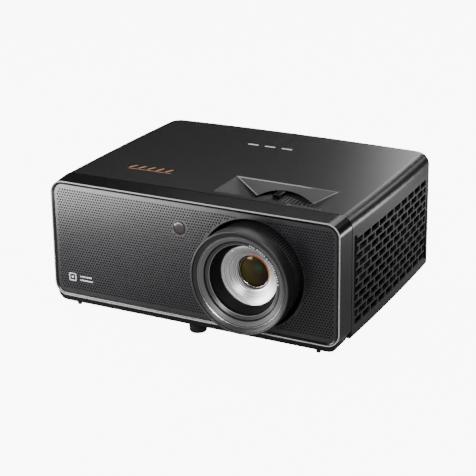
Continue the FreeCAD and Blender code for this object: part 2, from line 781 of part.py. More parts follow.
def recess_strip(side, use):
    """A round strip down one back corner of the well."""
    width = (SIZES["recess_width"] - SIZES["recess_floor_width"]) / 2
    rise = SIZES["recess_depth"] + SIZES["crown_rise"]
    run = FreeCAD.Vector(-side * width, -SIZES["recess_slope"], -rise)
    strip = doc.addObject("Part::Cylinder", f"recess_{use}_{'right' if side > 0 else 'left'}")
    strip.Placement = FreeCAD.Placement(
        FreeCAD.Vector(), FreeCAD.Rotation(FreeCAD.Vector(0, 0, 1), run))
    bind(strip, Radius="recess_trim", Height=str(round(run.Length * 0.86, 2)))
    start = run * 0.11
    return place(
        strip,
        f"lens_x + {side} * recess_width / 2 + ({start.x:.3f})",
        f"face_y + recess_back + ({start.y:.3f})",
        f"edge_z + face_height + crown_rise + ({start.z:.3f})")


# ---------------------------------------------------------------- trim, marks and rear

def small_trim():
    """Window, indicator bars and the raised generic marks."""
    node("ir_window", rod("ir_window", "y", "window_radius", "panel_thick", "window_x", "face_y + panel_inset",
                          "edge_z + window_rise"))
    top = "edge_z + face_height + crown_rise"
    node("indicator_bars", group("indicator_bars", bars("indicator", "0", f"{top} - 5", f"{top} - 0.1")))
    node("front_stops", group("front_stops", [
        cone(f"front_stop_{i}", "z", "2.6", "3.2", "stop_drop", f"{sign} * stop_x", "face_y + stop_y",
             BASE + " - stop_drop")
        for i, sign in enumerate((-1, 1), start=1)]))


PORTS = {
    "video_port_1": (-118, 40, 15, 6.5),
    "video_port_2": (-92, 40, 15, 6.5),
    "network_port": (-64, 37, 16, 14),
    "usb_port": (-34, 40, 13.5, 6.5),
    "serial_port": (-12, 37, 26, 11),
}
JACKS = {"audio_jack": (28, 44), "trigger_jack": (44, 44)}
INLET_PINS = ((5.5, 6), (12.5, 10), (19.5, 6))
KEYS = {
    "enter_button": (0, 0),
    "up_button": (0, 1),
    "down_button": (0, -1),
    "left_button": (-1, 0),
    "right_button": (1, 0),
    "power_button": (-1.7, 1.6),
}


def key_place(across, along):
    """Centre of a key on the rear panel."""
    return f"key_x + ({across}) * key_spacing", f"edge_z + key_rise + ({along}) * key_spacing"


def rear_pieces():
    """The rear panel, its sockets and its keys."""
    depth = "back_y - rear_inset - rear_thick"
    plate = box("rear_plate", "-rear_width / 2", depth, "edge_z + rear_low", "rear_width", "rear_thick",
                "rear_height")
    board_y = f"{depth} - 14"
    holes = []
    sockets = []
    for name, (x, rise, wide, high) in PORTS.items():
        holes.append(box(name + "_hole", x, f"{depth} - 5", f"edge_z + {rise}", wide, "20", high))
        shell = box(name + "_shell", x, board_y, f"edge_z + {rise}", wide, "socket_depth", high)
        mouth = box(name + "_mouth", f"{x} + socket_wall", f"{board_y} + 3", f"edge_z + {rise} + socket_wall",
                    f"{wide} - 2 * socket_wall", "20", f"{high} - 2 * socket_wall")
        sockets.append(cut(name, shell, [mouth]))
    for name, (x, rise) in JACKS.items():
        holes.append(rod(name + "_hole", "y", "jack_radius", "20", x, f"{depth} - 5", f"edge_z + {rise}"))
        shell = rod(name + "_shell", "y", "jack_radius", "socket_depth", x, board_y, f"edge_z + {rise}")
        mouth = rod(name + "_mouth", "y", "jack_bore", "20", x, f"{board_y} + 3", f"edge_z + {rise}")
        sockets.append(cut(name, shell, [mouth]))
    holes.append(box("inlet_hole", "inlet_x", f"{depth} - 5", "edge_z + inlet_rise", "inlet_width", "20",
                     "inlet_height"))
    inlet_shell = box("inlet_shell", "inlet_x", f"{depth} - 20", "edge_z + inlet_rise", "inlet_width", "22",
                      "inlet_height")
    inlet_mouth = box("inlet_mouth", "inlet_x + inlet_wall", f"{depth} - 16", "edge_z + inlet_rise + inlet_wall",
                      "inlet_width - 2 * inlet_wall", "30", "inlet_height - 2 * inlet_wall")
    pins = [
        box(f"inlet_pin_{i}", f"inlet_x + {x}", f"{depth} - 16", f"edge_z + inlet_rise + {z}", "2", "14", "4")
        for i, (x, z) in enumerate(INLET_PINS, start=1)]
    node("ac_inlet", fuse("ac_inlet", [cut("inlet_socket", inlet_shell, [inlet_mouth]), *pins]))
    for name, (across, along) in KEYS.items():
        x, z = key_place(across, along)
        holes.append(rod(name + "_hole", "y", "key_radius + key_gap", "20", x, f"{depth} - 5", z))
        cap = rod(name + "_cap", "y", "key_radius", "rear_thick + 4.4", x, f"{depth} - 3", z)
        flange = rod(name + "_flange", "y", "key_radius + 1.2", "1", x, f"{depth} - 3", z)
        node(name, fuse(name, [cap, flange]))
    for i in range(REAR_VENTS):
        for row in range(3):
            holes.append(box(
                f"rear_vent_{row}_{i}", f"vent_x + {i} * vent_pitch", f"{depth} - 5",
                f"edge_z + vent_rise + {row} * vent_rows", "vent_width", "20", "vent_height"))
    node("rear_panel", cut("rear_panel", plate, holes))
    node("rear_ports", group("rear_ports", sockets))
    node("main_board", box("main_board", "-130", f"{board_y} - 1.6", "edge_z + 14", "210", "1.6", "100"))


# ---------------------------------------------------------------- feet and fixings

def feet_and_fixings():
    """Screw feet, their nuts, the ceiling-mount inserts and the case screws."""
    nuts = []
    for foot, (x, y) in FEET.items():
        radius = "foot_front_radius" if foot == "front_foot" else "foot_rear_radius"
        low = rod(f"{foot}_stud", "z", "stem_radius", "nut_height + 14", x, y, "foot_height - 6")
        node(f"{foot}_stem", low)
        pad = cone(f"{foot}_body", "z", f"{radius} - 1.5", radius, "foot_height", x, y, "0")
        socket = rod(f"{foot}_socket", "z", "stem_radius + running_fit", "30", x, y, "foot_height - 6")
        node(f"{foot}_pad", cut(f"{foot}_pad", pad, [socket]))
        nuts.append(tube(f"{foot}_nut", "z", "nut_radius", "stem_radius + running_fit", "nut_height", x, y, BASE))
    node("foot_nuts", group("foot_nuts", nuts))
    node("mount_inserts", group("mount_inserts", [
        tube(f"mount_insert_{i}", "z", "insert_radius", "thread_radius", "insert_height", x, y, BASE)
        for i, (x, y) in enumerate(MOUNTS, start=1)]))
    screws = []
    for i, (x, y) in enumerate(SCREWS, start=1):
        head = rod(f"screw_head_{i}", "z", "screw_head", "1.4", x, y, f"{BASE} + 0.2")
        shank = rod(f"screw_shank_{i}", "z", "screw_radius", "screw_length", x, y, f"{BASE} + 0.2")
        screws.append(fuse(f"case_screw_{i}", [head, shank]))
    node("case_screws", group("case_screws", screws))


# ---------------------------------------------------------------- inside

def engine_pieces():
    """Light engine, laser, colour wheel and imaging board."""
    front = f"{HOOD} + zoom_back + 8 + mount_thick"
    wheel_z = "edge_z + wheel_rise"
    housing = box("engine_block", "engine_x", front, FLOOR, "engine_width", "engine_depth", "engine_height")
    cavity = box("engine_cavity", "engine_x + engine_wall", f"{front} + engine_wall", f"{FLOOR} + engine_wall",
                 "engine_width - 2 * engine_wall", "engine_depth - 2 * engine_wall",
                 "engine_height - 2 * engine_wall")
    bore = rod("engine_bore", "y", "barrel_radius", "8", "lens_x", f"{front} - 2", LENS_Z)
    beam = rod("engine_beam", "x", "beam_radius", "10", "engine_x - 2", f"{front} + beam_rise",
               "edge_z + beam_rise")
    shaft_hole = rod("engine_motor_hole", "y", "beam_radius", "10", "wheel_x", f"{front} + engine_depth - 5",
                     wheel_z)
    node("optical_engine", cut("optical_engine", housing, [cavity, bore, beam, shaft_hole]))
    laser = box("laser_case", "laser_x", f"{front} + 10", FLOOR, "laser_size", "laser_depth", "laser_size")
    lamp = rod("laser_window", "x", "beam_radius", "20", "engine_x - 10", f"{front} + beam_rise",
               "edge_z + beam_rise")
    node("laser_module", cut("laser_module", laser, [lamp]))
    sink_y = f"{front} + 10 + laser_depth"
    plate = box("sink_plate", "laser_x", sink_y, FLOOR, "laser_size", "sink_base", "laser_size")
    fins = [
        box(f"sink_fin_{i}", f"laser_x + {i} * fin_pitch", f"{sink_y} + sink_base", FLOOR, "fin_thick",
            "sink_depth", "laser_size")
        for i in range(SINK_FINS)]
    node("laser_heatsink", fuse("laser_heatsink", [plate, *fins]))
    motor_y = f"{front} + engine_depth"
    motor = rod("motor_can", "y", "motor_radius", "motor_length", "wheel_x", motor_y, wheel_z)
    spindle_hole = rod("motor_bore", "y", "spindle_radius + running_fit", "motor_length + 2", "wheel_x",
                       f"{motor_y} - 1", wheel_z)
    node("wheel_motor", cut("wheel_motor", motor, [spindle_hole]))
    disc = rod("wheel_disc", "y", "wheel_radius", "1.2", "wheel_x", f"{motor_y} + motor_length + 2", wheel_z)
    hub = rod("wheel_hub_form", "y", "wheel_hub", "3", "wheel_x", f"{motor_y} + motor_length + 0.6", wheel_z)
    spindle = rod("wheel_spindle", "y", "spindle_radius", "motor_length", "wheel_x", f"{motor_y} + 1", wheel_z)
    node("phosphor_wheel", fuse("phosphor_wheel", [disc, hub, spindle]))
    board_x = "engine_x + engine_width"
    board = box("imaging_pcb", board_x, f"{front} + 10", "edge_z + 30", "1.6", "66", "70")
    chip = box("imaging_sink", f"{board_x} + 1.6", f"{front} + 24", "edge_z + 44", "9", "38", "40")
    node("imaging_board", fuse("imaging_board", [board, chip]))


def power_and_sound():
    """Power supply and the two loudspeakers."""
    base = f"{FLOOR} + insert_height + 2"
    shell = box("supply_shell", "supply_x", "face_y + supply_y", base, "supply_width", "supply_depth",
                "supply_height")
    inside = box("supply_inside", "supply_x + supply_wall", "face_y + supply_y + supply_wall",
                 f"{base} + supply_wall", "supply_width - 2 * supply_wall", "supply_depth - 2 * supply_wall",
                 "supply_height - 2 * supply_wall")
    vents = [
        box(f"supply_vent_{i}", "supply_x + 10", f"face_y + supply_y + 15 + {i} * 20",
            f"{base} + supply_height - 7", "supply_width - 20", "8", "20")
        for i in range(7)]
    node("power_supply", cut("power_supply", shell, [inside, *vents]))
    for side, x in (("left", "-case_width / 2 + 4"), ("right", "case_width / 2 - speaker_depth - 4")):
        y = "back_y - 60" if side == "left" else "face_y + 74"
        node(f"{side}_speaker", rod(f"{side}_speaker_frame", "x", "speaker_radius", "speaker_depth", x, y,
                                    "edge_z + speaker_rise"))


def fan(side, low_x, y, z):
    """An axial fan that blows along X: its square frame and its rotor."""
    frame = rounded(f"{side}_fan_body", "x", "5", low_x, f"{y} - fan_size / 2", f"{z} - fan_size / 2",
                    "fan_depth", "fan_size", "fan_size")
    tunnel = rod(f"{side}_fan_tunnel", "x", "fan_bore", "fan_depth + 2", f"{low_x} - 1", y, z)
    ring = cut(f"{side}_fan_ring", frame, [tunnel])
    strut_x = f"{low_x} + fan_depth - 3" if side == "right" else low_x
    struts = [
        box(f"{side}_fan_strut_1", strut_x, f"{y} - fan_bore - 1", f"{z} - 2", "3", "2 * fan_bore + 2", "4"),
        box(f"{side}_fan_strut_2", strut_x, f"{y} - 2", f"{z} - fan_bore - 1", "3", "4", "2 * fan_bore + 2"),
        rod(f"{side}_fan_cup", "x", "fan_hub", "3", strut_x, y, z),
    ]
    post_x = f"{low_x} + 4" if side == "right" else f"{low_x} + 3"
    post = rod(f"{side}_fan_post", "x", "3", "fan_depth - 7", post_x, y, z)
    node(f"{side}_fan_frame", fuse(f"{side}_fan_frame", [ring, *struts, post]))
    hub = rod(f"{side}_fan_rotor_hub", "x", "fan_hub", "fan_depth - 8", f"{low_x} + 4", y, z)
    blades = []
    root = FreeCAD.Vector(0, 0, SIZES["fan_hub"] - 1)
    middle = FreeCAD.Vector(0.8, 10, 0)
    for i in range(FAN_BLADES):
        lean = FreeCAD.Rotation(FreeCAD.Vector(1, 0, 0), 360 / FAN_BLADES * i)
        turn = lean.multiply(FreeCAD.Rotation(FreeCAD.Vector(0, 0, 1), 35))
        blade = doc.addObject("Part::Box", f"{side}_fan_blade_{i + 1}")
        blade.Placement = FreeCAD.Placement(FreeCAD.Vector(), turn)
        bind(blade, Length="1.6", Width="20", Height="fan_tip - fan_hub + 1")
        start = lean.multVec(root) - turn.multVec(middle)
        blades.append(place(
            blade, f"{low_x} + fan_depth / 2 + ({start.x:.3f})", f"{y} + ({start.y:.3f})",
            f"{z} + ({start.z:.3f})"))
    bore = rod(f"{side}_fan_bore", "x", "3 + running_fit", "fan_depth", low_x, y, z)
    node(f"{side}_fan_rotor", cut(f"{side}_fan_rotor", fuse(f"{side}_fan_impeller", [hub, *blades]), [bore]))


# ---------------------------------------------------------------- build and write

top_cover()
bottom_case()
front_collar()
front_trim()
front_panel()
side_grille("right_side_grille", 1)
side_grille("left_side_grille", -1)
lens_pieces()
recess_pieces()
small_trim()
rear_pieces()
feet_and_fixings()
engine_pieces()
power_and_sound()
fan("left", "-case_width / 2 + left_fan_x", "face_y + left_fan_y", "edge_z + left_fan_rise")
fan("right", "case_width / 2 - right_fan_x", "back_y - right_fan_y", "edge_z + right_fan_rise")
doc.recompute()

os.makedirs("parts", exist_ok=True)
for item in doc.Objects:
    if "Invalid" in item.State or "Error" in item.State:
        raise RuntimeError(f"{item.Name} did not build: {item.State}")
for piece in nodes:
    shape = piece.Shape
    if shape.isNull() or not shape.isValid() or not shape.Solids:
        raise RuntimeError(f"{piece.Label} is not a valid solid")
    shape.exportStep(f"parts/{piece.Label}.step")
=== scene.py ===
"""Looks of the home projector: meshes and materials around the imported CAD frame, in metres.

The lens looks along -Y, +X is the lens side, +Z is up. Every place is worked out from the frame.
"""

import bmesh
import bpy
import json
import math
import random
from mathutils import Matrix, Vector
from mathutils.geometry import delaunay_2d_cdt


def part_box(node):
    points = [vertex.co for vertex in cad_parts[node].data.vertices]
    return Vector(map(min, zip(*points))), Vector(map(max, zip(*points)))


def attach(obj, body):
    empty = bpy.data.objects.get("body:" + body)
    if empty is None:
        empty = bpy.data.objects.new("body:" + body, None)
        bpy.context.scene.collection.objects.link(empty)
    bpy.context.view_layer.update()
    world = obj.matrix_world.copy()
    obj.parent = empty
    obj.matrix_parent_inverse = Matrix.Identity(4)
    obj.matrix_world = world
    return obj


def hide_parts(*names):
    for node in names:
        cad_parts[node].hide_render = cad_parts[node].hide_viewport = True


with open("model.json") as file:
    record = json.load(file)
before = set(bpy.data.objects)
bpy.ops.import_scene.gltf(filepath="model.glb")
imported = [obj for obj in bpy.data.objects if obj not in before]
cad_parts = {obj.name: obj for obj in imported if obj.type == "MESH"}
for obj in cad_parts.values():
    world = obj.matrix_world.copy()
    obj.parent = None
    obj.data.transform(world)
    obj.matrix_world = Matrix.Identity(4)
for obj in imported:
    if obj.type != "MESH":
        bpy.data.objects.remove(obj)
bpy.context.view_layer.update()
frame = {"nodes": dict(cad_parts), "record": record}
NODES = frame["nodes"]
MM = 0.001
AXIS_GAP = 0.01 * MM  # radius of the tiny hole left on a turned piece's axis
random.seed(7)


# ---------------------------------------------------------------- places read from the frame

def centre(node):
    """Middle of a CAD node's box."""
    low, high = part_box(node)
    return (low + high) / 2


FACE_LOW, FACE_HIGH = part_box("front_trim")
FACE_Y = FACE_LOW.y
COLLAR_LOW, COLLAR_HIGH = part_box("front_collar")
PANEL_LOW, PANEL_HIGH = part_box("front_panel")
HOOD_LOW, HOOD_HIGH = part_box("lens_hood")
LENS = Vector((centre("lens_hood").x, HOOD_LOW.y, centre("lens_hood").z))
HOOD_R = (HOOD_HIGH.x - HOOD_LOW.x) / 2
CORNER_R = 16.5 * MM
BEZEL = PANEL_LOW.x - FACE_LOW.x
CROWN_R = 8.1
WELL_HALF = 67  # half-width of the roof's well at the roof, mm
WELL_BACK = 100  # from the face to the back edge of the well, mm
ROOF_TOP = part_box("top_cover")[1].z


def roof_z(x):
    """Height of the crowned roof at x, in metres."""
    return ROOF_TOP - x * x / (2 * CROWN_R)


# ---------------------------------------------------------------- materials

def new_material(name):
    """An empty node material with its shader, output and object coordinates."""
    material = bpy.data.materials.new(name)
    material.use_nodes = True
    shader = material.node_tree.nodes["Principled BSDF"]
    coords = material.node_tree.nodes.new("ShaderNodeTexCoord")
    return material, material.node_tree, shader, coords


def noise(tree, coords, scale, detail=3.0, stretch=(1, 1, 1)):
    """Noise in object space; scale is features per metre."""
    mapping = tree.nodes.new("ShaderNodeMapping")
    mapping.inputs["Scale"].default_value = stretch
    texture = tree.nodes.new("ShaderNodeTexNoise")
    texture.inputs["Scale"].default_value = scale
    texture.inputs["Detail"].default_value = detail
    tree.links.new(coords.outputs["Object"], mapping.inputs["Vector"])
    tree.links.new(mapping.outputs["Vector"], texture.inputs["Vector"])
    return texture


def ramp(tree, source, low, high, start=0.35, end=0.65):
    """Two-colour ramp driven by a texture."""
    node = tree.nodes.new("ShaderNodeValToRGB")
    node.color_ramp.elements[0].position = start
    node.color_ramp.elements[1].position = end
    node.color_ramp.elements[0].color = (*low, 1)
    node.color_ramp.elements[1].color = (*high, 1)
    tree.links.new(source, node.inputs["Fac"])
    return node


def spread(tree, source, low, high):
    """Maps a texture's value to a range."""
    node = tree.nodes.new("ShaderNodeMapRange")
    node.inputs["To Min"].default_value = low
    node.inputs["To Max"].default_value = high
    tree.links.new(source, node.inputs["Value"])
    return node


def bump(tree, shader, source, height, strength=1.0):
    """Raises a surface by a texture; height is in metres."""
    node = tree.nodes.new("ShaderNodeBump")
    node.inputs["Strength"].default_value = strength
    node.inputs["Distance"].default_value = height
    tree.links.new(source, node.inputs["Height"])
    tree.links.new(node.outputs["Normal"], shader.inputs["Normal"])


def shade(colour, factor):
    """A colour made lighter or darker."""
    return tuple(min(1.0, channel * factor) for channel in colour)


def moulded(name, colour, roughness, grain=1600, height=0.00004, coat=0.0, specular=0.5):
    """Moulded plastic: fine spark texture, slow colour drift, roughness that follows the grain."""
    material, tree, shader, coords = new_material(name)
    fine = noise(tree, coords, grain, 4)
    broad = noise(tree, coords, 14, 2)
    tint = ramp(tree, broad.outputs["Fac"], shade(colour, 0.9), shade(colour, 1.12))
    tree.links.new(tint.outputs["Color"], shader.inputs["Base Color"])
    rough = spread(tree, fine.outputs["Fac"], roughness - 0.06, roughness + 0.06)
    tree.links.new(rough.outputs["Result"], shader.inputs["Roughness"])
    shader.inputs["Specular IOR Level"].default_value = specular
    shader.inputs["Coat Weight"].default_value = coat
    shader.inputs["Coat Roughness"].default_value = 0.06
    bump(tree, shader, fine.outputs["Fac"], height, 0.5)
    return material


def metal(name, colour, roughness, stretch=(1, 1, 1), grain=900, height=0.00001):
    """Metal or metallised plastic with a faint directional grain."""
    material, tree, shader, coords = new_material(name)
    fine = noise(tree, coords, grain, 3, stretch)
    tint = ramp(tree, fine.outputs["Fac"], shade(colour, 0.92), shade(colour, 1.05))
    tree.links.new(tint.outputs["Color"], shader.inputs["Base Color"])
    rough = spread(tree, fine.outputs["Fac"], roughness * 0.8, roughness * 1.25)
    tree.links.new(rough.outputs["Result"], shader.inputs["Roughness"])
    shader.inputs["Metallic"].default_value = 1.0
    bump(tree, shader, fine.outputs["Fac"], height, 0.35)
    return material


def coated_glass_painted_reflection():
    """Dark front glass with painted coating reflections: olive on the left, brown on the right, and a painted
    green reflection above the middle.
    """
    material, tree, shader, coords = new_material("coated_glass_painted_reflection")
    # Painted coating reflection: olive turning brown from left to right across the glass.
    split = tree.nodes.new("ShaderNodeSeparateXYZ")
    tree.links.new(coords.outputs["Object"], split.inputs["Vector"])
    across = spread(tree, split.outputs["X"], 0.0, 1.0)
    across.inputs["From Min"].default_value = LENS.x - 18 * MM
    across.inputs["From Max"].default_value = LENS.x + 14 * MM
    tint = ramp(tree, across.outputs["Result"], (0.040, 0.034, 0.008), (0.010, 0.006, 0.005), 0.1, 0.9)
    # Painted green reflection: a spot of colour above the middle of the glass.
    spot = tree.nodes.new("ShaderNodeVectorMath")
    spot.operation = "DISTANCE"
    spot.inputs[1].default_value = (LENS.x + 5 * MM, LENS.y + 40.5 * MM, LENS.z + 5 * MM)
    tree.links.new(coords.outputs["Object"], spot.inputs[0])
    near = spread(tree, spot.outputs["Value"], 0.85, 0.0)
    near.inputs["From Max"].default_value = 7 * MM
    mix = tree.nodes.new("ShaderNodeMix")
    mix.data_type = "RGBA"
    mix.inputs[7].default_value = (0.010, 0.045, 0.030, 1)
    tree.links.new(near.outputs["Result"], mix.inputs[0])
    tree.links.new(tint.outputs["Color"], mix.inputs[6])
    tree.links.new(mix.outputs[2], shader.inputs["Base Color"])
    fine = noise(tree, coords, 300, 2)
    rough = spread(tree, fine.outputs["Fac"], 0.05, 0.09)
    tree.links.new(rough.outputs["Result"], shader.inputs["Roughness"])
    shader.inputs["Specular IOR Level"].default_value = 0.35
    shader.inputs["Specular Tint"].default_value = (1.0, 0.8, 0.5, 1)
    return material


def printed(name, colour, roughness=0.45):
    """Ink or paint laid thinly on plastic, a little uneven."""
    material, tree, shader, coords = new_material(name)
    speck = noise(tree, coords, 2500, 2)
    tint = ramp(tree, speck.outputs["Fac"], shade(colour, 0.88), colour)
    tree.links.new(tint.outputs["Color"], shader.inputs["Base Color"])
    rough = spread(tree, speck.outputs["Fac"], roughness - 0.08, roughness + 0.08)
    tree.links.new(rough.outputs["Result"], shader.inputs["Roughness"])
    bump(tree, shader, speck.outputs["Fac"], 0.00001, 0.4)
    return material


def circuit_board():
    """Green solder mask with copper traces under it."""
    material, tree, shader, coords = new_material("circuit_board")
    cells = tree.nodes.new("ShaderNodeTexVoronoi")
    cells.distance = "CHEBYCHEV"
    cells.inputs["Scale"].default_value = 160
    tree.links.new(coords.outputs["Object"], cells.inputs["Vector"])
    tint = ramp(tree, cells.outputs["Distance"], (0.006, 0.05, 0.018), (0.015, 0.11, 0.04), 0.2, 0.3)
    tree.links.new(tint.outputs["Color"], shader.inputs["Base Color"])
    rough = spread(tree, cells.outputs["Distance"], 0.3, 0.5)
    tree.links.new(rough.outputs["Result"], shader.inputs["Roughness"])
    bump(tree, shader, cells.outputs["Distance"], 0.00005, 0.4)
    return material


CHARCOAL = (0.007, 0.007, 0.0075)
DEEP_BLACK = (0.003, 0.003, 0.003)
MATERIALS = {
    "charcoal_plastic": moulded("charcoal_plastic", CHARCOAL, 0.31, grain=2200, height=0.00003),
    "gloss_black_plastic": moulded("gloss_black_plastic", DEEP_BLACK, 0.2, grain=500, height=0.000004,
                                   coat=0.25, specular=0.4),
    "bright_trim": metal("bright_trim", (0.80, 0.80, 0.82), 0.16, (1, 1, 1), 500),
    "fascia_plastic": moulded("fascia_plastic", (0.016, 0.016, 0.018), 0.29, grain=2600, height=0.00001,
                              specular=0.8),
    "dark_window": moulded("dark_window", (0.020, 0.012, 0.012), 0.22, grain=400, height=0.000003, coat=0.4),
    "grille_plastic": moulded("grille_plastic", (0.014, 0.014, 0.016), 0.44, grain=2200, height=0.00003),
    "rubber": moulded("rubber", (0.012, 0.012, 0.012), 0.62, grain=1400, height=0.00006, specular=0.35),
    "hood_plastic": moulded("hood_plastic", (0.010, 0.010, 0.011), 0.4, grain=2400, height=0.00002),
    "lens_black": moulded("lens_black", DEEP_BLACK, 0.55, grain=1800, height=0.00003, specular=0.15),
    "silver_reflector": metal("silver_reflector", (0.93, 0.92, 0.92), 0.34, (1, 1, 1), 700),
    "glass": coated_glass_painted_reflection(),
    "pcb": circuit_board(),
    "aluminium": metal("cast_aluminium", (0.52, 0.53, 0.55), 0.42, (1, 1, 1), 1400, 0.00003),
    "steel": metal("zinc_steel", (0.46, 0.47, 0.50), 0.34, (1, 1, 8), 500),
    "brass": metal("brass", (0.62, 0.44, 0.18), 0.3, (1, 1, 1), 900),
    "copper_mark": printed("copper_print", (0.85, 0.40, 0.20), 0.35),
    "white_diffuser": printed("white_diffuser", (0.85, 0.86, 0.88), 0.3),
    "key_plastic": moulded("key_plastic", (0.018, 0.018, 0.020), 0.5, grain=2000, height=0.00002),
    "ceramic": printed("phosphor_coating", (0.72, 0.60, 0.10), 0.6),
}
STEP_GREY = moulded("step_grey", (0.085, 0.085, 0.09), 0.36, grain=2400, height=0.00001)
RIB_GREY = moulded("rib_grey", (0.030, 0.030, 0.031), 0.34, grain=2400, height=0.00001)
EDGE_SILVER = metal("edge_silver", (0.62, 0.62, 0.65), 0.3)
SATIN_SILVER = printed("satin_silver", (0.50, 0.50, 0.51), 0.3)
LIP_GREY = moulded("lip_grey", (0.019, 0.019, 0.020), 0.34, grain=2400, height=0.00001)
# Lighter grey laid as a painted highlight line on the gloss collar's back edge.
PAINTED_HIGHLIGHT_GREY = printed("painted_highlight_grey", (0.22, 0.22, 0.225), 0.3)
SOFT_GREY = moulded("soft_grey", (0.040, 0.040, 0.042), 0.34, grain=2400, height=0.00001)
ROSE_LINE = metal("rose_line", (0.55, 0.45, 0.44), 0.25)
WHITE_INK = printed("white_ink", (0.92, 0.92, 0.93))
GREY_INK = printed("grey_ink", (0.30, 0.30, 0.31))
DARK_INK = printed("dark_ink", (0.006, 0.006, 0.007), 0.6)
GUNMETAL = moulded("gunmetal", (0.11, 0.108, 0.11), 0.30, grain=2400, height=0.00001)

for entry in frame["record"]["subparts"]:
    mesh = NODES[entry["node"]].data
    mesh.materials.clear()
    mesh.materials.append(MATERIALS[entry["material_slot"]])
SLOT_OF = {entry["node"]: entry["material_slot"] for entry in frame["record"]["subparts"]}
BODY_OF = {node: body for body, members in frame["record"]["behaviour"]["bodies"].items() for node in members}


# ---------------------------------------------------------------- mesh helpers

def finish_piece(obj, body, slot, materials, nodes=()):
    """Gives a piece its materials and body, and hides the CAD nodes it stands for; slot is not used."""
    for material in materials:
        obj.data.materials.append(material)
    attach(obj, body)
    if nodes:
        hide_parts(*nodes)
    return obj


def mesh_object(name, vertices, faces, indices=None, smooth_angle=32):
    """A mesh object from vertices and faces, smooth below an angle."""
    mesh = bpy.data.meshes.new(name)
    mesh.from_pydata([tuple(v) for v in vertices], [], faces)
    if indices:
        mesh.polygons.foreach_set("material_index", indices)
    mesh.validate()
    mesh.update()
    obj = bpy.data.objects.new(name, mesh)
    bpy.context.scene.collection.objects.link(obj)
    smooth(obj, smooth_angle)
    return obj


def smooth(obj, angle):
    """Smooth shading with sharp edges kept above an angle in degrees."""
    for polygon in obj.data.polygons:
        polygon.use_smooth = True
    obj.data.set_sharp_from_angle(angle=math.radians(angle))


def apply_modifiers(obj):
    """Bakes an object's modifiers into its mesh."""
    graph = bpy.context.evaluated_depsgraph_get()
    mesh = bpy.data.meshes.new_from_object(obj.evaluated_get(graph))
    obj.modifiers.clear()
    obj.data = mesh


def refined(node, edge=0.35, angle=28, flat=0.3):
    """A CAD node's own form with its flat faces joined and its edges softened; angles are in degrees."""
    obj = bpy.data.objects.new(node + "_surface", NODES[node].data.copy())
    bpy.context.scene.collection.objects.link(obj)
    obj.data.materials.clear()
    form = bmesh.new()
    form.from_mesh(obj.data)
    bmesh.ops.remove_doubles(form, verts=form.verts, dist=0.000005)
    bmesh.ops.dissolve_limit(form, angle_limit=math.radians(flat), verts=form.verts, edges=form.edges)
    form.to_mesh(obj.data)
    form.free()
    if edge:
        bevel = obj.modifiers.new("edge", "BEVEL")
        bevel.width = edge * MM
        bevel.segments = 2
        bevel.limit_method = "ANGLE"
        bevel.angle_limit = math.radians(angle)
        bevel.harden_normals = False
        apply_modifiers(obj)
    smooth(obj, angle)
    weighted = obj.modifiers.new("even_normals", "WEIGHTED_NORMAL")
    weighted.keep_sharp = True
    weighted.weight = 90
    apply_modifiers(obj)
    slot = SLOT_OF[node]
    return finish_piece(obj, BODY_OF[node], slot, [MATERIALS[slot]], [node])


def lathe(name, profile, middle, axis="y", segments=192, ribs=0, depth=0.0, rows=(), close=True):
    """Turns (radius, along, material) points about an axis through middle; ribs cut the given rows."""
    vertices = []
    count = len(profile)
    for step in range(segments):
        angle = math.tau * step / segments
        for row, point in enumerate(profile):
            radius = point[0]
            if ribs and row in rows:
                radius -= depth * groove(angle * ribs / math.tau)
            across, up = radius * math.cos(angle), radius * math.sin(angle)
            along = point[1]
            spot = (across, along, up) if axis == "y" else (across, up, along)
            vertices.append(middle + Vector(spot))
    faces = []
    indices = []
    for step in range(segments):
        nearby = (step + 1) % segments
        deep = ribs and groove((step + 0.5) / segments * ribs) > 0.45
        for row in range(count if close else count - 1):
            last = (row + 1) % count
            corners = [step * count + row, step * count + last, nearby * count + last, nearby * count + row]
            faces.append(corners if axis == "y" else corners[::-1])
            own = profile[row][2] if len(profile[row]) > 2 else 0
            indices.append(1 if deep and row in rows else own)
    obj = mesh_object(name, vertices, faces, indices)
    fix_normals(obj)
    return obj


def groove(turns):
    """Depth of a rib pattern: flat tops with round-bottomed grooves between them."""
    phase = turns % 1.0
    return 0.0 if phase < 0.5 else math.sin((phase - 0.5) * math.tau)


def fix_normals(obj):
    """Turns every face outwards."""
    form = bmesh.new()
    form.from_mesh(obj.data)
    bmesh.ops.remove_doubles(form, verts=form.verts, dist=0.000001)
    bmesh.ops.recalc_face_normals(form, faces=form.faces)
    form.to_mesh(obj.data)
    form.free()
    smooth(obj, 32)


def rounded_loop(low, high, radius, steps=10):
    """Points round a rounded rectangle, anticlockwise, in two dimensions."""
    points = []
    corners = [
        (high[0] - radius, low[1] + radius, -90),
        (high[0] - radius, high[1] - radius, 0),
        (low[0] + radius, high[1] - radius, 90),
        (low[0] + radius, low[1] + radius, 180),
    ]
    for x, y, start in corners:
        for step in range(steps + 1):
            angle = math.radians(start + 90 * step / steps)
            points.append((x + radius * math.cos(angle), y + radius * math.sin(angle)))
    return points


def circle_loop(x, y, radius, steps=96, start=0.0):
    """Points round a circle in two dimensions."""
    angles = [start + math.tau * i / steps for i in range(steps)]
    return [(x + radius * math.cos(angle), y + radius * math.sin(angle)) for angle in angles]


